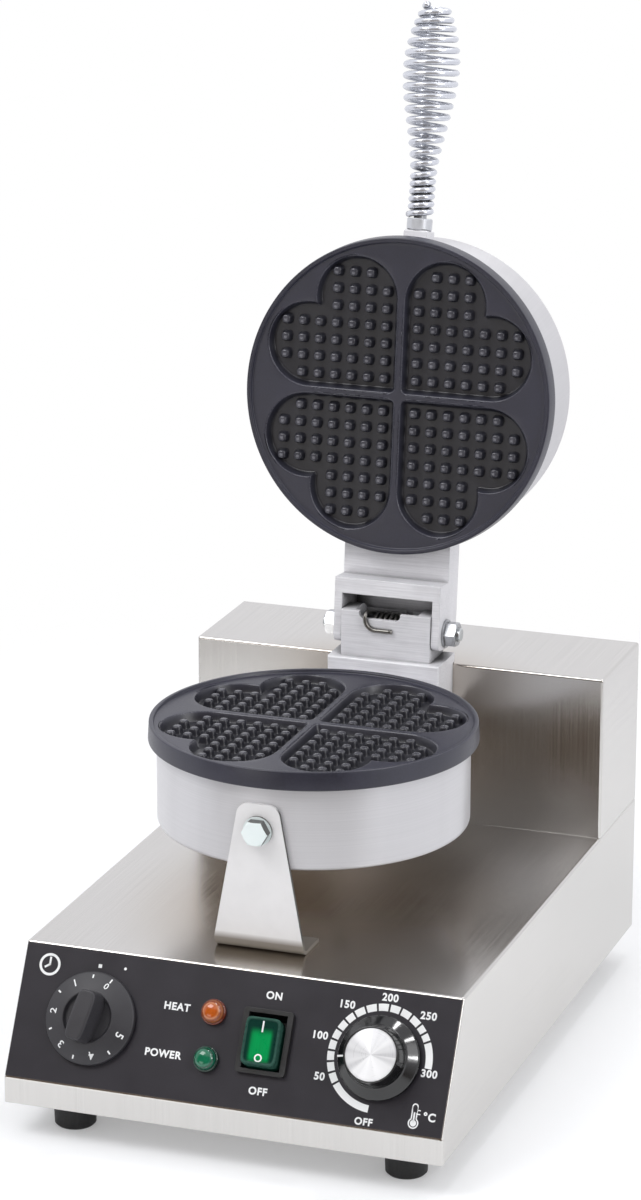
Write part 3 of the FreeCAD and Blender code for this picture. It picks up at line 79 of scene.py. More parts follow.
# Rings round a heart: shares of the land, then distance, fall, and rubbing with painted highlight, outside and
# inside the outline
land_shares = (1.0, 0.6, 0.3)
lip_outside = ((0.8, 0.0, 0.05), (0.4, 0.05, 0.3), (0.1, 0.2, 0.5))
lip_inside = ((0.15, 0.5, 0.3), (0.35, 0.95, 0.05), (0.95, 2.6, 0.0), (1.6, heart_depth - 0.7, 0.0),
              (1.9, heart_depth - 0.25, 0.0), (2.4, heart_depth - 0.05, 0.0), (3.0, heart_depth, 0.0))
floor_shares = (0.5, 0.0)
# Painted shade added along the heart walls
wall_shade = 0.15

# Rings of a stud: half width, height and the power of its rounded square
stud_rings = ((3.35, -0.1, 3.4), (3.2, 0.12, 3.4), (3.02, 0.6, 3.4), (2.72, 2.2, 3.2), (2.5, 3.3, 3.0),
              (2.3, 3.85, 2.8), (1.95, 4.24, 2.6), (1.45, 4.42, 2.4), (0.8, 4.49, 2.2), (0.0, 4.5, 2.0))
stud_height = 4.5
stud_segments = 24
# Share of the painted shade that fades out from a stud's foot to its top
stud_paling = 0.3
# Share of a stud's height where its lightening by use and painted highlight starts, and the share over which it
# grows
stud_wear_sheen_from = 0.93
stud_wear_sheen_fade = 0.05
stud_first = 9.5
stud_pitch = 10.0
stud_count = 7
stud_room = 4.6

drum_radius = 87.0
drum_wall = 1.2
drum_round = 3.0
drum_edge = 0.5
upper_drum_height = 48.0

wire_ring = 14
grip_wire = 3.6
grip_foot = 15.4
grip_turns = 21
grip_points_a_turn = 44
grip_steps = ((0, 0.0), (5, 21.4), (18, 104.2), (21, 118.8))
grip_thin = 7.6
grip_full = 16.4
grip_end = 7.9
grip_swell_start = 0.15
grip_swell_length = 0.55
grip_taper_start = 0.70
grip_tail = 3.6
grip_start = 215.0
handle_root = (0.0, -129.585, 237.0)
handle_lean = 83.5

spring_wire = 2.4
spring_radius = 8.2
spring_pitch = 3.1
spring_turns = 6.0819
spring_from = 44.53
spring_left = -11.8
spring_leg = 9.96
spring_rise = 16.0
spring_reach = -15.5
spring_bend = 3.6
spring_lead = 4.777
spring_curl = 6.0
spring_tail = 10.5
spring_points = {"leg": 6, "coil": 260, "bend": 13, "curl": 17, "tail": 5}

fascia_skin = 0.8
knob_lift = 1.2
ink_lift = 0.07
timer_place = (-80.0, 38.0)
thermostat_place = (84.1, 37.6)
switch_place = (20.0, 37.6)
lens_column = -11.4
lens_rows = (25.4, 50.8)

timer_radius = 25.4
timer_edge = 3.0
timer_ring = 14.6
timer_ring_height = 7.2
timer_dish = 13.8
timer_dish_slope = 1.0
timer_dish_height = 5.0
timer_rounds = (0.5, 1.0, 0.6, 0.6, 0.8)
timer_bar_length = 29.0
timer_bar_foot = 13.6
timer_bar_head = 10.4
timer_bar_end_draft = 0.8
timer_bar_top = 18.6
timer_bar_tuck = 1.0
timer_bar_close = 3.2
timer_bar_round = 2.4
timer_bar_power = 0.45
timer_bar_segments = 72
timer_bar_turn = -11.0

thermostat_skirt = 22.7
thermostat_edge = 2.6
thermostat_waist = 16.6
thermostat_waist_height = 7.0
thermostat_crown = 15.0
thermostat_height = 17.4
thermostat_rounds = (0.5, 1.0, 1.2, 0.9, 0.3, 0.1)
cap_radius = 14.1
cap_room = 0.1
cap_sink = 0.6
cap_pocket = 0.6
cap_thickness = 1.0
cap_crown = 0.15
cap_rounds = (0.2, 0.35)

lens_radius = 7.0
lens_flange = 2.0
lens_shoulder = 2.3
lens_height = 6.9
lens_dome = 6.3
lens_bulge = 0.8
lens_rounds = (0.3, 0.4)
lens_points = 20
lens_segments = 64
lens_crown_fade = 1.5
lens_core_reach = 0.95
lens_core_fade = 0.6
# Prism rings of a lens, lightened as painted highlight: strength, share of the radius and width
lens_prisms = ((0.55, 0.60, 0.06), (0.40, 0.84, 0.05))

rocker_half_width = 9.9
rocker_half_height = 12.6
rocker_power = 9
rocker_segments = 96
rocker_face = 6.4
rocker_foot = -3.0
rocker_wedge = 0.17
rocker_drop = 1.2
rocker_aside = -0.7
rocker_pivot = 1.6
rocker_tilt = -10.0
rocker_dish = 0.7
rocker_dish_from = 1.0
rocker_dish_fade = 0.7
# Rings of the rocker: distances in from its outline across the face, then distance and drop round the edge
rocker_insets = (rocker_half_width, 7.4, 6.2, 5.4, 4.8, 4.2, 3.6, 2.8, 2.1, 1.8, 1.5, 1.2, 0.9)
rocker_edge = ((0.5, 0.06), (0.2, 0.25), (0.05, 0.5), (0.0, 1.0), (0.0, 4.0),
               (0.0, rocker_face - rocker_foot))
window_half_width = 6.9
window_side_fade = 2.4
window_half_height = 10.4
window_end_fade = 5.0
window_below = 2.6

# Joints between grids, in metres, and the most of a side that a soft corner may take
seam_gap = 2e-6
sliver = 1e-6
corner_share = 0.48


# Frames that carry local millimetres to the part's own frame
def turn_x(degrees):
    """Rotation about the X axis."""
    c, s = math.cos(math.radians(degrees)), math.sin(math.radians(degrees))
    return np.array([[1, 0, 0, 0], [0, c, -s, 0], [0, s, c, 0], [0, 0, 0, 1.0]])


def turn_z(degrees):
    """Rotation about the Z axis."""
    c, s = math.cos(math.radians(degrees)), math.sin(math.radians(degrees))
    return np.array([[c, -s, 0, 0], [s, c, 0, 0], [0, 0, 1, 0], [0, 0, 0, 1.0]])


def shift(x=0.0, y=0.0, z=0.0):
    """Translation."""
    return np.array([[1, 0, 0, x], [0, 1, 0, y], [0, 0, 1, z], [0, 0, 0, 1.0]])


def carried(points, *matrices):
    """Points sent through the matrices, the last one first."""
    matrix = np.eye(4)
    for step in matrices:
        matrix = matrix @ step
    return points @ matrix[:3, :3].T + matrix[:3, 3]


hinge = np.array(joints["lid_hinge"]["pos_m"]) / mm
lid_opening = -joints["lid_hinge"]["range_deg"][1]
lid_swing = shift(*hinge) @ turn_x(lid_opening) @ shift(*-hinge)

panel_normal = np.array(joints["timer_turn"]["axis"])
panel_up = np.cross(panel_normal, (1.0, 0.0, 0.0))
panel_frame = np.eye(4)
panel_frame[:3, 1] = panel_up
panel_frame[:3, 2] = panel_normal
panel_frame[:3, 3] = np.array(joints["timer_turn"]["pos_m"]) / mm + panel_up * timer_place[1]
panel_frame[0, 3] = 0.0

plate_low, plate_high = (np.array(corner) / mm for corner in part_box("lower_plate"))
drum_low, drum_high = (np.array(corner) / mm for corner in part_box("lower_casing"))
plate_middle = (plate_low + plate_high) / 2
lower_rim = shift(plate_middle[0], plate_middle[1], plate_high[2])
lid_rim = lid_swing @ shift(plate_middle[0], plate_middle[1], plate_high[2] + lid_gap) @ turn_x(180.0)
lower_drum = lower_rim @ shift(0, 0, drum_low[2] - plate_high[2])
upper_drum = lid_rim @ shift(0, 0, -plate_band - upper_drum_height)
handle_frame = lid_swing @ shift(*handle_root) @ turn_x(handle_lean)


def on_panel(place, lift):
    """Frame of a control: its place across and down the slope, and its lift off the sheet."""
    return panel_frame @ shift(place[0], -place[1], lift)


timer_frame = on_panel(timer_place, knob_lift)
thermostat_frame = on_panel(thermostat_place, knob_lift)
rocker_place = (switch_place[0] + rocker_aside, switch_place[1] + rocker_drop)
rocker_frame = on_panel(rocker_place, rocker_pivot) @ turn_x(rocker_tilt)


# Grids, profiles and meshes
def smooth_step(t):
    """Cubic ease from 0 to 1."""
    t = np.clip(t, 0.0, 1.0)
    return t * t * (3 - 2 * t)


def lengths(rows):
    """Length of each row, as a column."""
    return np.linalg.norm(rows, axis=-1, keepdims=True)


def unit(rows):
    """Each row divided by its length."""
    return rows / lengths(rows)


def round_angles(count):
    """Equal steps round a full turn, the first at zero."""
    return np.arange(count) * 2 * math.pi / count


def rounded_square(count, power):
    """Cosine and sine round a full turn, pushed out until the powers of x and y add up to one."""
    c, s = np.cos(round_angles(count)), np.sin(round_angles(count))
    push = (np.abs(c) ** power + np.abs(s) ** power) ** (-1 / power)
    return c * push, s * push


def softened(profile, radius, steps=5):
    """A profile whose inner corners are replaced by quadratic arcs that start a radius away from each corner,
    or nearly half a side away where that is less."""
    p = np.array(profile, float)
    back, ahead = p[:-2] - p[1:-1], p[2:] - p[1:-1]
    most = corner_share * np.minimum(lengths(back), lengths(ahead))
    cut = np.minimum(np.broadcast_to(np.reshape(radius, (-1, 1)), most.shape), most)
    start, end = p[1:-1] + unit(back) * cut, p[1:-1] + unit(ahead) * cut
    t = np.linspace(0, 1, steps)[None, :, None]
    arcs = (1 - t) ** 2 * start[:, None] + 2 * t * (1 - t) * p[1:-1, None] + t ** 2 * end[:, None]
    return np.vstack([p[:1], arcs.reshape(-1, 2), p[-1:]])


def revolved(profile, segments=160):
    """Surface of revolution: (radius, height) carried round the Z axis."""
    p = np.array(profile, float)
    angle = round_angles(segments)
    x = p[:, :1] * np.cos(angle)
    return np.stack([x, p[:, :1] * np.sin(angle), np.broadcast_to(p[:, 1:], x.shape)], -1)


def wire(path, first, second, radius):
    """Round tube: a circle in the plane of the two cross directions, carried along the path, closed at both
    ends."""
    angle = round_angles(wire_ring)[None, :, None]
    tube = path[:, None] + radius * (np.cos(angle) * first[:, None] + np.sin(angle) * second[:, None])
    ends = [np.repeat(path[i][None, None], wire_ring, 1) for i in (0, -1)]
    return np.concatenate([ends[0], tube, ends[1]])


def along(path):
    """Unit tangents of a path by central differences."""
    return unit(np.gradient(path, axis=0))


def across(tangent, reference):
    """Two unit directions across a tangent, the first as near as can be to the reference."""
    first = unit(reference - np.sum(reference * tangent, 1, keepdims=True) * tangent)
    return first, np.cross(tangent, first)


def grid_faces(rows, columns):
    """Four-cornered faces between neighbouring rows and columns, the last column joined to the first, and
    where their corners lie as shares of the grid."""
    r, c = np.meshgrid(np.arange(rows - 1), np.arange(columns), indexing="ij")
    corners = np.stack([(r, c), (r, c + 1), (r + 1, c + 1), (r + 1, c)]).transpose(2, 3, 0, 1)
    corners = corners.reshape(-1, 4, 2)
    return corners[..., 0] * columns + corners[..., 1] % columns, corners / (rows - 1, columns)


def shell(grid, facing=None):
    """Points, faces and face corners of a grid. The faces of a closed grid are turned outwards, away from its
    middle, and those of an open one along the direction that is given with it."""
    face, corner = grid_faces(*grid.shape[:2])
    flat = grid.reshape(-1, 3)
    quad = flat[face]
    normal = np.cross(quad[:, 2] - quad[:, 0], quad[:, 3] - quad[:, 1])
    outward = quad.mean(1) - flat.mean(0) if facing is None else facing
    if np.sum(normal * outward) < 0:
        face, corner = face[:, ::-1], corner[:, ::-1]
    return flat, face, corner


def piece(name, grids, body, material, node, masks=(), sheets=(), facing=None):
    """One mesh from open sheets, if any, and closed grids. Masks are named values on all points, for the
    material."""
    shells = [shell(sheet, facing) for sheet in sheets] + [shell(grid) for grid in grids]
    starts = np.cumsum([0] + [len(flat) for flat, _, _ in shells])
    points = np.vstack([flat for flat, _, _ in shells]) * mm
    faces = np.vstack([face + start for (_, face, _), start in zip(shells, starts)])
    corners = np.vstack([corner for _, _, corner in shells])
    mesh = bpy.data.meshes.new(name)
    mesh.vertices.add(len(points))
    mesh.vertices.foreach_set("co", points.ravel())
    mesh.loops.add(faces.size)
    mesh.loops.foreach_set("vertex_index", faces.ravel().astype(np.int32))
    mesh.polygons.add(len(faces))
    mesh.polygons.foreach_set("loop_start", np.arange(0, faces.size, 4, dtype=np.int32))
    mesh.update(calc_edges=True)
    layer = mesh.uv_layers.new(name="run")
    layer.data.foreach_set("uv", corners.ravel().astype(np.float32))
    for title, values in dict(masks).items():
        mask = mesh.attributes.new(title, "FLOAT", "POINT")
        mask.data.foreach_set("value", np.concatenate([value.ravel() for value in values]).astype(np.float32))
    dressed(name, mesh, body, material, node)


def placed(name, data):
    """A new object in the scene."""
    made = bpy.data.objects.new(name, data)
    bpy.context.scene.collection.objects.link(made)
    return made


def dressed(name, mesh, body, material, node=None):
    """Closes seams and poles, shades smoothly, and joins the piece to its body."""
    work = bmesh.new()
    work.from_mesh(mesh)
    bmesh.ops.remove_doubles(work, verts=work.verts, dist=seam_gap)
    bmesh.ops.dissolve_degenerate(work, edges=work.edges, dist=sliver)
    work.to_mesh(mesh)
    work.free()
    mesh.validate()
    mesh.polygons.foreach_set("use_smooth", np.ones(len(mesh.polygons), bool))
    mesh.materials.append(material)
    shape = placed(name, mesh)
    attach(shape, body)
    if node:
        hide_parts(node)


# Materials
def display(red, green, blue):
    """Linear colour from display values between 0 and 255."""
    value = np.array([red, green, blue]) / 255
    linear = np.where(value <= 0.04045, value / 12.92, ((value + 0.055) / 1.055) ** 2.4)
    return (*linear, 1.0)


class Nodes:
    """Short ways to add nodes to one tree."""

    def __init__(self, tree):
        self.tree = tree

    def feed(self, socket, value):
        """Links an input to an output, or sets it to a value."""
        if isinstance(value, bpy.types.NodeSocket):
            self.tree.links.new(value, socket)
        else:
            socket.default_value = value

    def node(self, kind, inputs=(), **settings):
        """A new shader node of a kind, with its settings and inputs."""
        made = self.tree.nodes.new("ShaderNode" + kind)
        for key, value in settings.items():
            setattr(made, key, value)
        for key, value in dict(inputs).items():
            self.feed(made.inputs[key], value)
        return made

    def result(self, operation, *values):
        """Result of a Math node."""
        return self.node("Math", dict(enumerate(values)), operation=operation).outputs[0]

    def ranged(self, value, low, high, start=0.3, end=0.7):
        """Straight run from low at the start to high at the end, level beyond them."""
        limits = {"Value": value, "From Min": start, "From Max": end, "To Min": low, "To Max": high}
        return self.node("MapRange", limits).outputs[0]

    def eased(self, value, start, end):
        """Smooth step from 0 at the start to 1 at the end."""
        limits = {"Value": value, "From Min": start, "From Max": end}
        return self.node("MapRange", limits, interpolation_type="SMOOTHSTEP").outputs[0]

    def reach(self, place, scale):
        """Distance of a place from the origin, with its own scale along each axis."""
        scaled = self.node("Mapping", {"Vector": place, "Scale": scale}).outputs[0]
        return self.node("VectorMath", {0: scaled}, operation="LENGTH").outputs["Value"]


class Finish(Nodes):
    """A node material around one Principled shader."""

    def __init__(self, name, metal=0.0):
        self.material = bpy.data.materials.new(name)
        self.material.use_nodes = True
        super().__init__(self.material.node_tree)
        self.shader = self.tree.nodes["Principled BSDF"]
        self.set("Metallic", metal)
        self.coordinates = self.node("TexCoord").outputs
        self.place = self.coordinates["Object"]

    def set(self, socket, value):
        """Feeds one of the shader's inputs."""
        self.feed(self.shader.inputs[socket], value)

    def noise(self, scale, detail=3.0, turn=(0, 0, 0), place=None):
        """Noise on object coordinates, or another place, with its own scale along each axis."""
        mapping = {"Vector": place or self.place, "Scale": scale, "Rotation": turn}
        mapped = self.node("Mapping", mapping).outputs[0]
        inputs = {"Vector": mapped, "Scale": 1.0, "Detail": detail, "Roughness": 0.55}
        return self.node("TexNoise", inputs).outputs["Fac"]

    def mask(self, title):
        """Named value painted on the piece's points."""
        return self.node("Attribute", attribute_name=title).outputs["Fac"]

    def mixed(self, share, first, second):
        """Blend of two colours, each an output or three display values."""
        first, second = (display(*tone) if isinstance(tone, tuple) else tone for tone in (first, second))
        return self.node("Mix", {0: share, 6: first, 7: second}, data_type="RGBA").outputs[2]

    def weighed(self, first, share, second):
        """Two patterns added, the first by its share and the second by the rest."""
        rest = self.result("MULTIPLY", second, 1 - share)
        return self.result("ADD", self.result("MULTIPLY", first, share), rest)

    def facing(self, axis):
        """How much the surface faces along an axis, either way."""
        normal = self.node("SeparateXYZ", {0: self.coordinates["Normal"]})
        return self.result("ABSOLUTE", normal.outputs[axis])

    def creased(self, colour, distance, start, end, shade_tone):
        """A colour that turns to painted shade where neighbouring surfaces close in, by the open share of the sky
        above it."""
        openness = self.node("AmbientOcclusion", {"Distance": distance * mm}, samples=8).outputs["AO"]
        return self.mixed(self.ranged(openness, 0, 1, start, end), shade_tone, colour)

    def roughened(self, pattern, rough, other, change):
        """Roughness that one pattern carries between two values and another changes a little."""
        self.set("Roughness", self.result("ADD", self.ranged(pattern, *rough), self.ranged(other, *change)))

    def drawn_out(self, amount):
        """Highlight drawn out along the piece's own run."""
        self.set("Anisotropic", amount)
        self.set("Tangent", self.node("Tangent", direction_type="UV_MAP", uv_map="run").outputs[0])

    def relief(self, height, strength, depth, bevel=0.0):
        """Bump from a height pattern, over edges rounded by the bevel."""
        inputs = {"Height": height, "Strength": strength, "Distance": depth * mm}
        if bevel:
            inputs["Normal"] = self.node("Bevel", {"Radius": bevel * mm}, samples=6).outputs[0]
        self.set("Normal", self.node("Bump", inputs).outputs[0])


def brushed_sheet(name, dark, light, rough, bevel):
    """Folded stainless sheet: hair lines that run front to back and up, lengthwise on the flanks, faint hand
    smudges, and a straw-brown darkening round the drum."""
    finish = Finish(name, metal=1.0)
    flank = finish.ranged(finish.facing(x_axis), 0, 1, 0.5, 0.7)
    lines, flank_lines = finish.noise((1900, 9, 9), 4), finish.noise((1900, 9, 1900), 4)
    grain = finish.node("Mix", {0: flank, 2: lines, 3: flank_lines}, data_type="FLOAT").outputs[0]
    smudge = finish.noise((14, 14, 14), 4)
    places = {0: finish.place, 1: tuple(plate_middle * mm)}
    from_plate = finish.node("VectorMath", places, operation="SUBTRACT").outputs[0]
    # Darker and browner round the drum: full within the near reach of the plate's middle, gone beyond the far
    # reach
    far_reach, near_reach, stretch = 0.145, 0.075, (1, 0.72, 0.9)
    by_drum = finish.eased(finish.reach(from_plate, stretch), far_reach, near_reach)
    clean = finish.mixed(finish.ranged(grain, 0, 1, 0.25, 0.75), dark, light)
    straw = finish.mixed(finish.ranged(smudge, 0, 1), (176, 162, 145), (184, 171, 155))
    finish.set("Base Color", finish.mixed(by_drum, clean, straw))
    finish.roughened(grain, rough, smudge, (-0.025, 0.035))
    finish.relief(grain, 0.07, 0.03, bevel)
    return finish.material


def spun_drum(name, turn):
    """Spun stainless drum: fine rings round its axis under faint upright bands, with the highlight drawn out
    along it."""
    finish = Finish(name, metal=0.4)
    rings, bands = finish.noise((5, 5, 1500), 3, turn), finish.noise((34, 34, 0.5), 3, turn)
    tone = finish.ranged(finish.weighed(rings, 0.45, bands), 0, 1)
    finish.set("Base Color", finish.mixed(tone, (200, 199, 202), (214, 213, 216)))
    finish.roughened(rings, (0.34, 0.40), bands, (-0.04, 0.04))
    finish.drawn_out(0.5)
    finish.relief(rings, 0.03, 0.02)
    return finish.material


def non_stick(name):
    """Cast plate with a sprayed non-stick coat: fine sand-like relief and cloudy blue-grey on the land, painted
    shade that makes it nearly black in the hollows, and edges and stud tops lighter, partly by use and partly as
    painted highlight."""
    finish = Finish(name)
    sand, cloud = finish.noise((900, 900, 900), 3), finish.noise((35, 35, 35), 4)
    hollow_shade, wear_and_sheen = finish.mask("hollow_shade"), finish.mask("wear_and_sheen")
    tone = finish.ranged(finish.weighed(sand, 0.4, cloud), 0, 1, 0.35, 0.65)
    land = finish.mixed(tone, (39, 39, 51), (50, 50, 64))
    # Painted shade: the floors and walls of the hearts darker than the land
    floor = finish.mixed(tone, (28, 28, 34), (41, 41, 48))
    # Edges and stud tops lighter by use and by painted highlight
    rubbed_sheen = finish.mixed(tone, (70, 70, 78), (94, 94, 102))
    finish.set("Base Color", finish.mixed(wear_and_sheen, finish.mixed(hollow_shade, land, floor), rubbed_sheen))
    finish.set("Metallic", finish.result("MULTIPLY", wear_and_sheen, 0.3))
    matt = finish.result("ADD", finish.ranged(sand, 0.32, 0.42), finish.ranged(cloud, -0.03, 0.03))
    finish.set("Roughness", finish.result("SUBTRACT", matt, finish.result("MULTIPLY", wear_and_sheen, 0.24)))
    finish.set("Specular IOR Level", 0.6)
    finish.relief(sand, 0.16, 0.05)
    return finish.material


def cast_metal(name, dark, light, rough, bevel=0.0, sand=300, strength=0.004, metal=1.0, crease_shade=0.0,
               ground=False, flank=None, bend=0.0):
    """Cast, plated or cut metal: sandy skin under a light polish, with edges rounded through use. A distance for
    the creases paints shade into them, ground adds belt marks, flank paints shade on what faces along an axis by
    its two limits, and bend paints a dark reflection on the strap up to that height above its foot."""
    finish = Finish(name, metal=metal)
    skin, cloud = finish.noise((sand, sand, sand), 4), finish.noise((45, 45, 45), 4)
    tone = finish.ranged(cloud, 0, 1)
    if ground:
        belt = finish.ranged(finish.noise((34, 1100, 1100), 4), 0, 1, 0.34, 0.62)
        tone = finish.weighed(tone, 0.5, belt)
    colour = finish.mixed(tone, dark, light)
    # Painted shade: darker where nearby surfaces close in, by ambient occlusion
    if crease_shade:
        colour = finish.creased(colour, crease_shade, 0.28, 0.66, (48, 46, 46))
    # Painted shade on the faces picked by how they face along the axis
    if flank:
        axis, *limits = flank
        colour = finish.mixed(finish.ranged(finish.facing(axis), 0, 1, *limits), colour, (92, 92, 91))
    # Painted reflection: the strap darker towards its foot, standing in for the dark base mirrored there
    if bend:
        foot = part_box("front_bracket")[0][z_axis]
        height = finish.node("SeparateXYZ", {0: finish.place}).outputs[z_axis]
        bend_reflection_share = finish.ranged(height, 1, 0, foot + 0.6 * bend * mm, foot + bend * mm)
        colour = finish.mixed(bend_reflection_share, colour, (142, 136, 129))
    finish.set("Base Color", colour)
    finish.roughened(skin, rough, cloud, (-0.04, 0.05))
    finish.relief(skin, strength, 0.05, bevel)
    return finish.material


def bright_wire(name, dark, light, rough, metal=1.0, crease_shade=0.0):
    """Drawn and plated wire: lengthwise die marks on its own run, small changes of gloss, and, given a distance
    for the creases, painted shade on the side that faces the next turn."""
    finish = Finish(name, metal=metal)
    marks = finish.noise((40, 22, 1), 3, place=finish.coordinates["UV"])
    cloud = finish.noise((160, 160, 160), 3)
    colour = finish.mixed(finish.ranged(marks, 0, 1), dark, light)
    # Painted shade where the turns close in on each other
    if crease_shade:
        colour = finish.creased(colour, crease_shade, 0.25, 0.80, (72, 74, 80))
    finish.set("Base Color", colour)
    finish.roughened(marks, rough, cloud, (-0.03, 0.04))
    finish.relief(marks, 0.05, 0.03)
    return finish.material


def moulded(name, dark, light, rough, sand, strength, bevel=0.0, coat=0.0):
    """Moulded plastic, rubber or film: fine spark-eroded skin and soft change of tone."""
    finish = Finish(name)
    skin, cloud = finish.noise((sand, sand, sand), 3), finish.noise((60, 60, 60), 3)
    finish.set("Base Color", finish.mixed(finish.ranged(cloud, 0, 1), dark, light))
    finish.roughened(skin, rough, cloud, (-0.03, 0.03))
    finish.set("Coat Weight", coat)
    finish.set("Coat Roughness", 0.08)
    finish.relief(skin, strength, 0.04, bevel)
    return finish.material


def turned_face(name):
    """Turned aluminium disc: concentric tool rings under faint rays painted as reflection, with the highlight
    drawn out along the radius."""
    finish = Finish(name, metal=0.25)
    run = finish.coordinates["UV"]
    rings, rays = finish.noise((420, 3, 1), 3, place=run), finish.noise((0.4, 9, 1), 1, place=run)
    # Painted reflection: light and dark rays round the face, standing in for the rays the tool rings reflect
    tone = finish.ranged(rays, 0, 1, 0.36, 0.56)
    finish.set("Base Color", finish.mixed(tone, (214, 214, 217), (250, 250, 252)))
    finish.roughened(rings, (0.26, 0.38), rays, (-0.02, 0.03))
    finish.drawn_out(0.7)
    finish.relief(rings, 0.10, 0.02)
    return finish.material


def lamp_glass(name, deep, bright, rim, glow):
    """Clear coloured lens: rings of prisms lightened as painted highlight, a deep wall, and a brighter middle
    where the lamp sits behind it."""
    finish = Finish(name)
    prisms = finish.noise((500, 500, 500), 2)
    share = finish.result("MULTIPLY", finish.mask("core"), finish.ranged(prisms, 0.8, 1.05))
    # Painted highlight: the prism rings paler than the glass
    colour = finish.mixed(finish.mask("rings"), finish.mixed(share, deep, bright), rim)
    finish.set("Base Color", colour)
    finish.set("Roughness", finish.ranged(prisms, 0.07, 0.13))
    finish.set("Coat Weight", 0.5)
    finish.set("Emission Color", colour)
    finish.set("Emission Strength", glow)
    finish.relief(prisms, 0.05, 0.05)
    return finish.material


def lit_rocker(name):
    """Clear green rocker: a pale frosted frame round a lit panel that fades to dark at both ends."""
    finish = Finish(name)
    grain, streak = finish.noise((420, 420, 420), 2), finish.noise((900, 60, 60), 2)
    lit = finish.result("MULTIPLY", finish.mask("lit"), finish.ranged(streak, 0.82, 1.06))
    inner = finish.mixed(lit, (6, 44, 36), (0, 132, 68))
    frost = finish.mixed(finish.ranged(grain, 0, 1), (38, 68, 60), (54, 86, 76))
    finish.set("Base Color", finish.mixed(finish.mask("frame"), inner, frost))
    finish.set("Roughness", finish.ranged(grain, 0.26, 0.36))
    finish.set("Specular IOR Level", 0.08)
    finish.set("Emission Color", inner)
    finish.set("Emission Strength", 0.2)
    finish.relief(grain, 0.05, 0.04)
    return finish.material


steel = brushed_sheet("brushed_sheet", (203, 201, 198), (215, 213, 210), (0.17, 0.24), 0.5)
lower_spun = spun_drum("spun_drum_lower", (0, 0, 0))
upper_spun = spun_drum("spun_drum_upper", (math.radians(-lid_opening - 180), 0, 0))
coat = non_stick("non_stick_coat")
# Painted shade on the strap's edge faces, and a painted dark reflection near its foot
strap = cast_metal("satin_strap", (232, 231, 232), (240, 239, 240), (0.46, 0.56), 0.3, 1400, 0.06, 0.3,
                   flank=(x_axis, 0.6, 0.9), bend=10.0)
# Painted shade in the casting's creases and recesses
alloy = cast_metal("cast_alloy", (212, 211, 215), (240, 239, 243), (0.40, 0.52), 0.6, 700, 0.16, 0.15,
                   crease_shade=11.0, ground=True)
zinc = cast_metal("zinc_plate", (178, 182, 184), (204, 207, 208), (0.22, 0.32), 0.3, 1200, 0.08, 0.9)
# Painted shade on the bolt head's side flats
bright_zinc = cast_metal("bright_zinc", (236, 246, 246), (244, 252, 252), (0.38, 0.44), metal=0.2,
                         flank=(y_axis, 0.75, 0.4))
# Painted shade in the creases of the nuts and the ferrule
nut = cast_metal("nut_zinc", (150, 152, 155), (182, 184, 187), (0.18, 0.26), metal=0.9, crease_shade=2.0)
ferrule = cast_metal("ferrule_zinc", (196, 198, 203), (220, 222, 227), (0.30, 0.40), metal=0.35, crease_shade=2.0)
element = cast_metal("heater_tube", (88, 84, 80), (120, 114, 108), (0.38, 0.52), sand=900, strength=0.2)
spring = bright_wire("spring_wire", (112, 110, 106), (146, 144, 140), (0.24, 0.34))
# Painted shade between the turns of the grip wire
chrome = bright_wire("chrome_wire", (202, 205, 213), (230, 232, 239), (0.20, 0.28), 0.7, 9.0)
film = moulded("fascia_film", (28, 25, 33), (34, 31, 39), (0.40, 0.50), 1500, 0.08)
satin = moulded("satin_knob", (46, 45, 49), (54, 53, 57), (0.44, 0.54), 1400, 0.10)
case = moulded("case_plastic", (28, 28, 29), (40, 40, 41), (0.38, 0.50), 1200, 0.15, bevel=0.4)
knob = moulded("knob_plastic", (13, 13, 14), (19, 19, 20), (0.10, 0.17), 1400, 0.03, coat=0.5)
rubber = moulded("foot_rubber", (20, 20, 21), (33, 33, 34), (0.55, 0.72), 900, 0.30, bevel=0.5)
ink = moulded("white_ink", (224, 225, 226), (240, 240, 240), (0.42, 0.55), 1600, 0.08)
face = turned_face("turned_face")

cad_finish = {
    "sheet_steel": steel, "drum_steel": lower_spun, "plate_coat": coat, "cast_alloy": alloy,
    "zinc_steel": zinc, "spring_steel": zinc, "chrome_wire": zinc, "heater_tube": element,
    "fascia_black": film, "case_plastic": case, "knob_black": knob, "spun_face": zinc,
    "amber_lens": case, "green_lens": case, "green_rocker": case, "foot_rubber": rubber,
}
own_finish = {
    "front_bracket": strap, "bracket_bolt": bright_zinc, "switch_body": case, "hinge_nuts": nut,
    "handle_nut": ferrule, "handle_ferrule": ferrule, "handle_rod": ferrule,
}
node_slots = {entry["node"]: entry["material_slot"] for entry in frame["record"]["subparts"]}
for name, shape in frame["nodes"].items():
    shape.data.materials.clear()
    shape.data.materials.append(own_finish.get(name) or cad_finish[node_slots[name]])


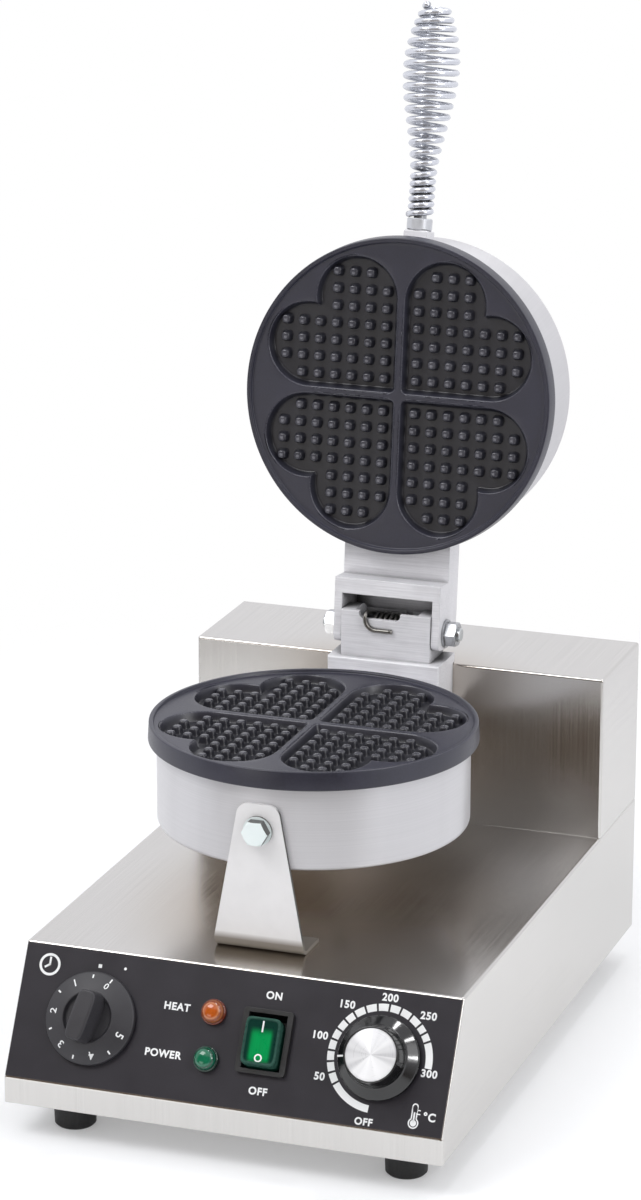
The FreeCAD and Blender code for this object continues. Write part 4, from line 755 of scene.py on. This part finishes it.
# Baking plates
def heart_outline():
    """Points and outward directions along one heart, from its tip round both lobes: straight side, arc, the
    notch with its direction swung round, arc, straight side and the round tip."""
    tip = heart_gap + heart_tip_radius
    spread = (heart_lobe_far - heart_lobe_near) / 2
    notch = (heart_lobe_far + heart_lobe_near) / 2 + math.sqrt(heart_lobe_radius ** 2 / 2 - spread ** 2)
    turn = math.atan2(notch - heart_lobe_near, notch - heart_lobe_far)
    side = np.linspace(tip, heart_lobe_far, heart_points["side"])[1:]
    tip_way, lobe_way, notch_way = (np.stack([np.cos(angle), np.sin(angle)], -1) for angle in (
        np.linspace(5 * math.pi / 4, 3 * math.pi / 2, heart_points["tip"]),
        np.linspace(-math.pi / 2, turn, heart_points["lobe"])[1:],
        np.linspace(turn, math.pi / 4, heart_points["notch"])[1:]))
    points = np.vstack([tip + heart_tip_radius * tip_way, np.stack([side, np.full_like(side, heart_gap)], -1),
                        (heart_lobe_far, heart_lobe_near) + heart_lobe_radius * lobe_way,
                        np.full(notch_way.shape, notch)])
    ways = np.vstack([tip_way, np.tile([0.0, -1.0], (len(side), 1)), lobe_way, notch_way])
    return np.vstack([points, points[-2:0:-1, ::-1]]), np.vstack([ways, ways[-2:0:-1, ::-1]])


def plate_quarter():
    """A quarter of the plate's face in rings round one heart: its floor, the drafted wall with a rounded lip,
    and the land out to the cross lines and the rim. Rings inside follow the outline, rings outside the rays
    from its middle."""
    outline, way = heart_outline()
    middle = np.array([heart_middle, heart_middle])
    ray = unit(outline - middle)
    along_ray = ray @ middle
    to_rim = np.sqrt(along_ray ** 2 + land_reach ** 2 - middle @ middle) - along_ray
    away, endless = -1e-6, 1e3
    to_cross = np.min(np.where(ray < away, -middle / np.minimum(ray, away), endless), axis=1)
    border = middle + ray * np.minimum(to_rim, to_cross)[:, None]
    for corner in ((0, 0), (land_reach, 0), (0, land_reach)):
        border[np.argmin(lengths(border - corner))] = corner
    land = border - outline
    rings = [(outline + land * share, 0.0, 0.0, 0.0) for share in land_shares]
    # Lip rings lightened by use and painted highlight; rings inside also take painted shade that grows with their
    # fall
    rings += [(outline + unit(land) * step, fall, 0.0, wear_sheen) for step, fall, wear_sheen in lip_outside]
    rings += [(outline - way * step, fall, min(1.0, fall / heart_depth + wall_shade), wear_sheen)
              for step, fall, wear_sheen in lip_inside]
    floor = rings[-1][0] - middle
    rings += [(middle + floor * share, heart_depth, 1.0, 0.0) for share in floor_shares]
    flat, fall, hollow_shade, wear_and_sheen = (np.array(column) for column in zip(*rings))
    height, hollow_shade, wear_and_sheen = (np.repeat(value[:, None], len(outline), 1)
                            for value in (plate_land - fall, hollow_shade, wear_and_sheen))
    return np.dstack([flat, height]), hollow_shade, wear_and_sheen


def stud_places():
    """Middles of one heart's studs: the square pattern, less those too near the outline."""
    outline, _ = heart_outline()
    line = stud_first + stud_pitch * np.arange(stud_count)
    spots = np.stack(np.meshgrid(line, line), -1).reshape(-1, 2)
    gap = np.linalg.norm(spots[:, None] - outline, axis=2).min(1)
    low, high = spots.min(1), spots.max(1)
    lobe = np.hypot(high - heart_lobe_far, low - heart_lobe_near) < heart_lobe_radius
    inside = lobe | ((high < heart_lobe_far) & (spots.sum(1) < heart_lobe_near + heart_lobe_far))
    return spots[inside & (gap > stud_room)]


def stud():
    """One stud: rings of a rounded square that draw in towards a domed top, with its masks by height: painted
    shade down its sides, and lightening by use with painted highlight on its top.
    """
    half, height, power = np.array(stud_rings).T[:, :, None]
    x, y = (half * wave for wave in rounded_square(stud_segments, power))
    z = np.broadcast_to(height, x.shape)
    share = z / stud_height
    # Painted shade down the stud's sides, paler towards its top; lightening by use and painted highlight on the
    # top
    hollow_shade = 1 - stud_paling * smooth_step(share)
    return np.stack([x, y, z], -1), hollow_shade, smooth_step((share - stud_wear_sheen_from) / stud_wear_sheen_fade)


def plate_face():
    """The four quarters of a plate's face and all its studs, with the masks of painted shade in the hollows and of
    places lightened by use and by painted highlight.
    """
    quarter, *quarter_masks = plate_quarter()
    bump, *bump_masks = stud()
    floor, spots = plate_land - heart_depth, stud_places()
    sheets = []
    for side in ((1, 1), (-1, 1), (-1, -1), (1, -1)):
        sheets.append((quarter * (*side, 1), *quarter_masks))
        sheets += [(bump + (*spot, floor), *bump_masks) for spot in spots * side]
    return zip(*sheets)


def plate_ring():
    """Profile of the rim, the tapered band and the spigot, turned round the plate's axis."""
    inner = plate_radius - plate_rim - plate_rim_slope
    profile = [(land_reach - land_tuck, plate_land - land_tuck), (inner, plate_land),
               (inner + plate_rim_slope, 0), (plate_radius, 0),
               (plate_radius + plate_foot_flare, -plate_band), (plate_spigot_radius, -plate_band),
               (plate_spigot_radius, plate_spigot_end), (0, plate_spigot_end)]
    return revolved(softened(profile, plate_edge), round_segments)


sheets, hollow_shade, wear_and_sheen = plate_face()
ring = plate_ring()
bare = np.zeros(ring.shape[:2])
# Masks of painted shade and of lightening by use with painted highlight; the rim carries neither
plate_masks = {"hollow_shade": (*hollow_shade, bare), "wear_and_sheen": (*wear_and_sheen, bare)}
for name, rim, body in (("lower_plate", lower_rim, "base"), ("upper_plate", lid_rim, "lid")):
    piece(name + "_cast", [carried(ring, rim)], body, coat, name, plate_masks,
          [carried(sheet, rim) for sheet in sheets], rim[:3, 2])


# Spun drums
def drum(height):
    """Profile of a spun drum with a rolled foot, outside and inside, turned round its axis."""
    inner = drum_radius - drum_wall
    profile = [(0, 0), (drum_radius, 0), (drum_radius, height), (inner, height), (inner, drum_wall),
               (0, drum_wall)]
    rounds = (drum_round, drum_edge, drum_edge, drum_round)
    return revolved(softened(profile, rounds, steps=7), round_segments)


for name, height, place, body, finish in (
        ("lower", drum_high[2] - drum_low[2], lower_drum, "base", lower_spun),
        ("upper", upper_drum_height, upper_drum, "lid", upper_spun)):
    piece(name + "_drum", [carried(drum(height), place)], body, finish, name + "_casing")


# Wound wire
def grip_coil():
    """Barrel coil: the turn number sets the angle and, stretch by stretch, the height; the radius swells from
    the narrow foot to the belly and falls again to the end. Short straight tails finish it."""
    turn = np.linspace(0, grip_turns, grip_turns * grip_points_a_turn + 1)
    height = np.interp(turn, *zip(*grip_steps))
    share = height / grip_steps[-1][1]
    swell = (grip_full - grip_thin) * smooth_step((share - grip_swell_start) / grip_swell_length)
    fall = (grip_full - grip_end) * (np.maximum(share - grip_taper_start, 0) / (1 - grip_taper_start)) ** 2
    radius = grip_thin + swell - fall - grip_wire / 2
    angle = 2 * math.pi * turn + math.radians(grip_start)
    outward = np.stack([np.cos(angle), np.sin(angle), np.zeros_like(angle)], -1)
    path = outward * radius[:, None]
    path[:, 2] = grip_foot + height
    tangent = along(path)
    path = np.vstack([path[:1] - tangent[:1] * grip_tail, path, path[-1:] + tangent[-1:] * grip_tail])
    outward = np.vstack([outward[:1], outward, outward[-1:]])
    return wire(path, *across(along(path), outward), grip_wire / 2)


def lid_spring():
    """Torsion spring: a close coil round the hinge axis, a straight free leg, and a leg that rises to the
    front, bends down and curls sideways under the lid's arm."""
    turn = np.linspace(0, spring_turns, spring_points["coil"])
    angle = np.radians(spring_from + 360 * turn)
    coil = np.stack([spring_left + spring_pitch * (spring_turns - turn), spring_radius * np.cos(angle),
                     spring_radius * np.sin(angle)], -1)
    first = np.array([0.0, math.sin(angle[0]), -math.cos(angle[0])])
    leg = coil[0] + first * np.linspace(spring_leg, 1, spring_points["leg"])[:, None]
    rise = math.radians(spring_rise)
    run = spring_radius * math.sin(rise) - spring_reach
    low = spring_radius * math.cos(rise) + run * math.tan(rise) - spring_lead
    swing = np.linspace(math.pi / 2 - rise, math.pi, spring_points["bend"])[:, None]
    bend = (spring_left, spring_reach + spring_bend, low) + spring_bend * np.hstack(
        [np.zeros_like(swing), np.cos(swing), np.sin(swing)])
    sweep = np.linspace(0, math.pi / 2, spring_points["curl"])[1:, None]
    curl = np.hstack([spring_left + spring_curl * (1 - np.cos(sweep)), np.full_like(sweep, spring_reach),
                      low - spring_curl * np.sin(sweep)])
    tail = curl[-1] + np.array([1.0, 0, 0]) * np.linspace(1, spring_tail, spring_points["tail"])[:, None]
    wound = np.vstack([leg, coil, bend])
    path = np.vstack([wound, curl, tail])
    tangent = along(path)
    one, two = across(tangent[:len(wound)], np.broadcast_to([1.0, 0, 0], wound.shape))
    side = np.broadcast_to([0, -1.0, 0], path[len(wound):].shape)
    one = np.vstack([one, np.cross(side, tangent[len(wound):])])
    return wire(path, one, np.vstack([two, side]), spring_wire / 2)


piece("grip_wire", [carried(grip_coil(), handle_frame)], "lid", chrome, "handle_coil")
piece("lid_spring", [carried(lid_spring(), shift(*hinge))], "base", spring, "hinge_spring")


# Controls
def timer_dish_ring():
    """Profile of the timer's dial, a flat disc with a sloping ring round a dish, turned round its axis."""
    profile = [(0, 0), (timer_radius, 0), (timer_radius, timer_edge), (timer_ring, timer_ring_height),
               (timer_dish, timer_ring_height), (timer_dish - timer_dish_slope, timer_dish_height),
               (0, timer_dish_height)]
    return revolved(softened(profile, timer_rounds))


def timer_bar():
    """Bar of the timer knob: a rounded oblong, by powers of the cosine and sine, that draws in from foot to
    head and closes over a soft top."""
    angle = round_angles(timer_bar_segments)
    across_bar, along_bar = (np.sign(wave) * np.abs(wave) ** timer_bar_power
                             for wave in (np.cos(angle), np.sin(angle)))
    profile = [(0, timer_dish_height - timer_bar_tuck), (1, timer_bar_top), (timer_bar_close, timer_bar_top)]
    draw, height = softened(profile, timer_bar_round, steps=8).T[:, :, None]
    x = (timer_bar_foot / 2 - draw * (timer_bar_foot - timer_bar_head) / 2) * across_bar
    y = (timer_bar_length / 2 - draw * timer_bar_end_draft) * along_bar
    top = np.broadcast_to([0, 0, timer_bar_top], (1, timer_bar_segments, 3))
    return np.concatenate([np.stack([x, y, np.broadcast_to(height, x.shape)], -1), top])


def thermostat_shapes():
    """Profiles of the thermostat's knob, a skirt and a tapered crown with a shallow pocket, and of the
    slightly domed face that lies in it, turned round their axis."""
    rest = thermostat_height - cap_sink
    pocket, pocket_floor = cap_radius + cap_room, rest - cap_pocket
    body = [(0, 0), (thermostat_skirt, 0), (thermostat_skirt, thermostat_edge),
            (thermostat_waist, thermostat_waist_height), (thermostat_crown, thermostat_height),
            (pocket, thermostat_height), (pocket, pocket_floor), (0, pocket_floor)]
    cap = [(0, rest - cap_thickness), (cap_radius, rest - cap_thickness), (cap_radius, rest),
           (0, rest + cap_crown)]
    return revolved(softened(body, thermostat_rounds)), revolved(softened(cap, cap_rounds))


def lamp_lens():
    """Lens: a soft flange under a dome whose radius falls with a power of the cosine and whose height grows
    with the sine, turned round its axis. Its masks are the lit core and bell curves of painted highlight round the
    prism rings."""
    foot = [(0, 0), (lens_radius, 0), (lens_radius, lens_flange), (lens_dome, lens_shoulder)]
    turn = np.linspace(0, math.pi / 2, lens_points)[1:]
    dome = np.stack([lens_dome * np.cos(turn) ** lens_bulge,
                     lens_shoulder + (lens_height - lens_shoulder) * np.sin(turn)], -1)
    dome[-1, 0] = 0.0
    grid = revolved(np.vstack([softened(foot, lens_rounds, steps=6), dome]), lens_segments)
    reach = np.hypot(grid[..., 0], grid[..., 1]) / lens_radius
    crown = smooth_step((grid[..., 2] - lens_flange) / lens_crown_fade)
    core = crown * smooth_step((lens_core_reach - reach) / lens_core_fade)
    rings = crown * sum(strength * np.exp(-((reach - place) / width) ** 2)
                        for strength, place, width in lens_prisms)
    return grid, {"core": [core], "rings": [rings]}


def rocker_cover():
    """Rocker: rings of a rounded oblong from the middle of its face out to the edge and down its flanks. The
    face is sunk inside a frame and rises as a wedge along its length. Its masks are the frame and the lit
    window."""
    inset, drop = np.array([(inset, 0.0) for inset in rocker_insets] + list(rocker_edge)).T[:, :, None]
    c, s = rounded_square(rocker_segments, rocker_power)
    x = (rocker_half_width - inset) * c
    y = np.maximum(rocker_half_height - inset, 0) * s
    sunk = smooth_step((inset - rocker_dish_from) / rocker_dish_fade)
    z = rocker_face - drop - sunk * rocker_dish + rocker_wedge * y
    foot = np.broadcast_to([0, 0, rocker_foot], (1, rocker_segments, 3))
    window = (smooth_step((window_half_width - np.abs(x)) / window_side_fade)
              * smooth_step((window_half_height - np.abs(y + window_below)) / window_end_fade))
    border = np.vstack([np.broadcast_to(1 - sunk, x.shape), np.ones((1, rocker_segments))])
    lit = np.vstack([sunk * window, np.zeros((1, rocker_segments))])
    return np.concatenate([np.stack([x, y, z], -1), foot]), {"frame": [border], "lit": [lit]}


timer_shapes = [carried(timer_dish_ring(), timer_frame),
                carried(timer_bar(), timer_frame, turn_z(timer_bar_turn))]
piece("timer_dial", timer_shapes, "timer_dial", satin, "timer_knob")

thermostat_body, thermostat_cap = (carried(grid, thermostat_frame) for grid in thermostat_shapes())
piece("thermostat_dial", [thermostat_body], "thermostat_dial", knob, "thermostat_knob")
piece("thermostat_face", [thermostat_cap], "thermostat_dial", face, "thermostat_cap")

lens_shape, lens_masks = lamp_lens()
# Lens colours: deep wall, lit middle, and a paler rim colour painted on the prism rings as highlight
for name, row, slot, deep, bright, rim, glow in (
        ("heat_lens", lens_rows[0], "amber_lens", (96, 34, 12), (178, 84, 24), (214, 146, 98), 0.06),
        ("power_lens", lens_rows[1], "green_lens", (3, 42, 30), (8, 104, 72), (40, 128, 100), 0.05)):
    glass = lamp_glass(name + "_glass", deep, bright, rim, glow)
    lens_frame = on_panel((lens_column, row), fascia_skin)
    piece(name + "_dome", [carried(lens_shape, lens_frame)], "base", glass, name, lens_masks)

rocker_shape, rocker_masks = rocker_cover()
piece("rocker_cover", [carried(rocker_shape, rocker_frame)], "switch_rocker", lit_rocker("rocker_glass"),
      "power_rocker", rocker_masks)


# Print
capital_share = 0.7
letter_spacing = 1.12
panel_weight = 0.2
# Words on the panel: place across and down the slope, and height of the capitals
panel_words = (
    ("HEAT", -32.6, 25.1, 3.9), ("POWER", -36.1, 51.0, 3.9), ("ON", 20.6, 12.3, 3.9),
    ("OFF", 20.1, 63.8, 3.9), ("OFF", 80.7, 71.6, 3.7), ("50", 52.7, 51.2, 3.9), ("100", 49.8, 29.6, 3.9),
    ("150", 62.0, 11.5, 3.9), ("200", 84.7, 5.0, 3.9), ("250", 107.1, 11.9, 3.9), ("300", 112.3, 42.0, 3.9),
    ("°C", 116.1, 64.4, 4.2))

# Heat scale: its radii, and clockwise angles of its blocks before, between and after the numbers
scale_radii = (25.2, 29.1)
scale_gap = 2.4
scale_lead = (181.6, 233.0)
scale_numbers = (246.0, 283.0, 319.5, 361.0, 402.0)
scale_tail = (412.5, 423.0, 454.0)

# Signs: place, strokes by their ends and width, and rounds by radii, angles and distance below the place
clock_sign = ((-109.2, 11.9), (((0, -0.4), (0, 4.2), 1.15), ((0.4, 0.3), (-2.8, -1.7), 1.15)),
              ((4.7, 6.1, 0, 360, 0),))
index_sign = ((-80.2, 9.2), (((-1.0, 0), (1.0, 0), 2.0),), ())
dot_sign = ((-65.6, 8.9), (), ((0, 0.8, 0, 360, 0),))
thermometer_sign = (
    (107.7, 65.1),
    (((-1.35, -1.2), (-1.35, 5.2), 0.7), ((1.35, -1.2), (1.35, 5.2), 0.7), ((0, -3), (0, 2.2), 0.9),
     ((1.7, 3.4), (3.2, 3.4), 0.6), ((1.7, 1.4), (3.2, 1.4), 0.6)),
    ((0, 1.7, 0, 360, 3.6), (2.2, 2.9, 28, 332, 3.6), (1.0, 1.7, -90, 90, -5.2)))

number_radius = 20.7
number_height = 4.4
number_weight = 0.08
number_turn = 54.4
zero_angle = 22.5
zero_radius = 19.4
zero_height = 3.5
zero_weight = 0.06
zero_tick = ((0.4, -0.9), (0.4, 1.7), 0.8)
tick = ((0, -1.1), (0, 1.1), 0.9)
tick_radius = 22.5
tick_angle = -3.7
tick_turn = 54.3
tick_count = 5

pointer = ((0, -3.6), (0, 3.6), 1.0)
pointer_angle = 265.0
rocker_line = ((0, -3.0), (0, 3.0), 0.9)
rocker_line_up = 7.8
rocker_round = (1.4, 2.2, 0, 360)
rocker_round_up = -8.9


def lettering(words, height, weight):
    """Outline letters as flat points and faces, centred, their capitals as high as given."""
    curve = bpy.data.curves.new("letters", "FONT")
    curve.body, curve.align_x, curve.align_y = words, "CENTER", "CENTER"
    curve.size, curve.offset, curve.resolution_u = height / capital_share, weight, 6
    curve.space_character = letter_spacing
    holder = placed("letters", curve)
    shape = bpy.data.meshes.new_from_object(holder.evaluated_get(bpy.context.evaluated_depsgraph_get()))
    points = np.zeros(len(shape.vertices) * 3)
    shape.vertices.foreach_get("co", points)
    faces = [tuple(face.vertices) for face in shape.polygons]
    bpy.data.objects.remove(holder)
    bpy.data.meshes.remove(shape)
    bpy.data.curves.remove(curve)
    points = points.reshape(-1, 3)
    points[:, :2] -= (points[:, :2].min(0) + points[:, :2].max(0)) / 2
    return points, faces


def band(inner, outer, start, end):
    """Flat piece of a ring between two clockwise angles from the top."""
    angle = np.radians(np.linspace(start, end, max(2, int(abs(end - start) / 3) + 1)))
    rim = np.stack([np.sin(angle), np.cos(angle), np.zeros_like(angle)], -1)
    count = len(angle)
    first = np.arange(count - 1)
    faces = np.stack([first, first + count, first + count + 1, first + 1], -1)
    return np.vstack([rim * inner, rim * outer]), faces.tolist()


def stroke(start, end, width):
    """Flat straight bar between two points."""
    start, end = np.array(start, float), np.array(end, float)
    run = unit(end - start)
    side = np.array([-run[1], run[0]]) * width / 2
    corners = np.array([start - side, end - side, end + side, start + side])
    return np.hstack([corners, np.zeros((4, 1))]), [(0, 1, 2, 3)]


def printed(name, marks, body):
    """One piece of flat ink from marks, each with its frame."""
    points, faces, base = [], [], 0
    for (flat, polygons), place in marks:
        points.append(carried(flat, place))
        faces += [tuple(np.array(polygon) + base) for polygon in polygons]
        base += len(flat)
    mesh = bpy.data.meshes.new(name)
    mesh.from_pydata((np.vstack(points) * mm).tolist(), [], faces)
    mesh.update()
    dressed(name, mesh, body, ink)


def on_film(across_panel, down):
    """Frame of a mark on the panel's film."""
    return on_panel((across_panel, down), fascia_skin + ink_lift)


def on_cone(dial, angle, radius, outer, outer_height, inner, inner_height):
    """Frame on a dial's sloping ring, which falls from an inner to an outer circle, its up direction
    outwards."""
    slope = (inner_height - outer_height) / (outer - inner)
    height = inner_height - (radius - inner) * slope
    lean = turn_x(-math.degrees(math.atan(slope)))
    return dial @ turn_z(-angle) @ shift(0, radius, height + ink_lift) @ lean


def on_timer(angle, radius):
    """Frame of a mark on the timer's sloping ring."""
    return on_cone(timer_frame, angle, radius, timer_radius, timer_edge, timer_ring, timer_ring_height)


def on_rocker(up):
    """Frame of a mark on the rocker's wedged face, up from its middle."""
    height = rocker_face - rocker_dish + ink_lift + rocker_wedge * up
    return rocker_frame @ shift(0, up, height) @ turn_x(math.degrees(math.atan(rocker_wedge)))


def heat_scale():
    """Blocks of the heat scale: three between neighbouring numbers, and others at both ends, each after a
    gap."""
    thirds = np.arange(3 * len(scale_numbers) - 2) / 3
    limits = [*scale_lead, *np.interp(thirds, range(len(scale_numbers)), scale_numbers), *scale_tail]
    return [band(*scale_radii, start + scale_gap, end) for start, end in zip(limits[:-1], limits[1:])]


def sign(place, strokes, rounds):
    """Marks of one sign from its strokes and rounds."""
    lines = [(stroke(*line), on_film(*place)) for line in strokes]
    return lines + [(band(*arc), on_film(place[0], place[1] + below)) for *arc, below in rounds]


panel_marks = [(lettering(text, height, panel_weight), on_film(*place))
               for text, *place, height in panel_words]
panel_marks += [(block, on_film(*thermostat_place)) for block in heat_scale()]
for marks in (clock_sign, index_sign, dot_sign, thermometer_sign):
    panel_marks += sign(*marks)
printed("panel_print", panel_marks, "base")

timer_marks = [(lettering(str(number), number_height, number_weight),
                on_timer(zero_angle - number_turn * number, number_radius)) for number in range(1, 6)]
timer_marks += [(lettering("0", zero_height, zero_weight), on_timer(zero_angle, zero_radius)),
                (stroke(*zero_tick), on_timer(zero_angle, tick_radius))]
timer_marks += [(stroke(*tick), on_timer(tick_angle - tick_turn * count, tick_radius))
                for count in range(tick_count)]
printed("timer_print", timer_marks, "timer_dial")

pointer_radius = (thermostat_waist + thermostat_skirt) / 2
pointer_frame = on_cone(thermostat_frame, pointer_angle, pointer_radius, thermostat_skirt, thermostat_edge,
                        thermostat_waist, thermostat_waist_height)
printed("thermostat_print", [(stroke(*pointer), pointer_frame)], "thermostat_dial")

rocker_marks = [(stroke(*rocker_line), on_rocker(rocker_line_up)),
                (band(*rocker_round), on_rocker(rocker_round_up))]
printed("rocker_print", rocker_marks, "switch_rocker")


# Floor, light and camera, in metres
floor_half = 1.2
floor_fade = (0.38, 0.85)
floor_lift = 0.22
room_front = (-0.35, -0.70)
room_top = (0.80, 0.60)
room_white = (0.965, 0.965, 1, 1)
room_dark = (0.125, 0.088, 0.060, 1)
ambient_white = (0.98, 0.99, 1, 1)
ambient_strength = 0.62
lamp_aim = np.array([0, 0, 0.3])
# Lamps: place, width, height and power in watts
lamps = (
    ("key_box", (-0.9, -1.1, 1.9), 1.2, 1.0, 20), ("fill_box", (1.6, -0.8, 1.2), 0.8, 1.2, 6),
    ("back_box", (0.3, 1.3, 1.9), 1.4, 0.8, 7), ("low_box", (-0.7, -1.7, 0.12), 0.7, 0.5, 2),
    ("spark_box", (1.29, -0.14, 1.69), 0.18, 0.18, 3), ("glint_box", (1.84, -0.77, 0.88), 0.18, 0.18, 3),
    ("gleam_box", (0.30, 0.35, 2.01), 0.18, 0.18, 3))
camera_place = np.array([742.0, -2130.76, 946.7]) * mm
camera_turn, camera_rise, camera_roll = (math.radians(degrees) for degrees in (19.47, 16.87, 0.11))
camera_focal_length = 126.84
camera_reach = 20


def pale_floor():
    """Pale floor that keeps the shadow, fades out into the white surroundings, and is lifted to white where
    it is seen or mirrored."""
    finish = Finish("pale_floor")
    fade = finish.eased(finish.reach(finish.place, (1, 1, 0)), *floor_fade)
    speckle = finish.noise((260, 260, 260), 3)
    finish.set("Base Color", finish.mixed(speckle, (226, 227, 230), (232, 232, 234)))
    finish.set("Roughness", finish.ranged(speckle, 0.75, 0.85))
    finish.set("Specular IOR Level", 0.1)
    rays = finish.node("LightPath").outputs
    mirrored = finish.result("MAXIMUM", rays["Is Camera Ray"], rays["Is Glossy Ray"])
    seen = finish.result("MAXIMUM", mirrored, rays["Is Transmission Ray"])
    finish.set("Emission Color", (1, 1, 1, 1))
    finish.set("Emission Strength", finish.result("MULTIPLY", seen, floor_lift))
    clear = finish.node("BsdfTransparent")
    blend = finish.node("MixShader", {0: fade, 1: finish.shader.outputs[0], 2: clear.outputs[0]})
    finish.feed(finish.tree.nodes["Material Output"].inputs["Surface"], blend.outputs[0])
    return finish.material


def studio():
    """Surroundings: white where they are seen, soft white light on the object, and in mirrors a white room
    with a dark side in front, below the lamps."""
    world = bpy.data.worlds.new("studio")
    world.use_nodes = True
    world.node_tree.nodes.clear()
    sky = Nodes(world.node_tree)
    direction = sky.node("TexCoord").outputs["Generated"]
    heading = sky.node("SeparateXYZ", {0: direction}).outputs
    front, below = sky.eased(heading[y_axis], *room_front), sky.eased(heading[z_axis], *room_top)
    dark_side = sky.result("MULTIPLY", front, below)
    room = sky.node("Mix", {0: dark_side, 6: room_white, 7: room_dark}, data_type="RGBA").outputs[2]
    mirrored, plain, ambient = (
        sky.node("Background", {"Color": colour, "Strength": strength}).outputs[0]
        for colour, strength in ((room, 1.0), ((1, 1, 1, 1), 1.0), (ambient_white, ambient_strength)))
    rays = sky.node("LightPath").outputs
    seen = sky.result("MAXIMUM", rays["Is Camera Ray"], rays["Is Transmission Ray"])
    lit = sky.node("MixShader", {0: seen, 1: ambient, 2: plain}).outputs[0]
    whole = sky.node("MixShader", {0: rays["Is Glossy Ray"], 1: lit, 2: mirrored}).outputs[0]
    sky.node("OutputWorld", {0: whole})
    return world


def aimed(holder, place, back, roll=0.0):
    """Puts a lamp or camera at a place with its back along a direction, upright but for a small roll."""
    right = unit(np.array([-back[1], back[0], 0.0]))
    up = np.cross(back, right)
    c, s = math.cos(roll), math.sin(roll)
    columns = (c * right + s * up, -s * right + c * up, back, place)
    holder.matrix_world = Matrix([[float(column[row]) for column in columns] for row in range(3)]).to_4x4()


def soft_box(name, place, width, height, power):
    """Area lamp that looks at the middle of the object."""
    lamp = bpy.data.lights.new(name, "AREA")
    lamp.shape, lamp.size, lamp.size_y, lamp.energy = "RECTANGLE", width, height, power
    aimed(placed(name, lamp), place, unit(place - lamp_aim))


floor_mesh = bpy.data.meshes.new("floor")
floor_corners = [(x * floor_half, y * floor_half, 0) for x, y in ((-1, -1), (1, -1), (1, 1), (-1, 1))]
floor_mesh.from_pydata(floor_corners, [], [(0, 1, 2, 3)])
floor_mesh.materials.append(pale_floor())
floor = placed("floor", floor_mesh)

bpy.context.scene.world = studio()
for lamp in lamps:
    soft_box(*lamp)

camera_back = np.array([math.sin(camera_turn) * math.cos(camera_rise),
                        -math.cos(camera_turn) * math.cos(camera_rise), math.sin(camera_rise)])
optics = bpy.data.cameras.new("camera")
optics.lens = camera_focal_length
optics.clip_end = camera_reach
camera = placed("camera", optics)
aimed(camera, camera_place, camera_back, camera_roll)
bpy.context.scene.camera = camera
bpy.context.scene.view_settings.view_transform = "Standard"
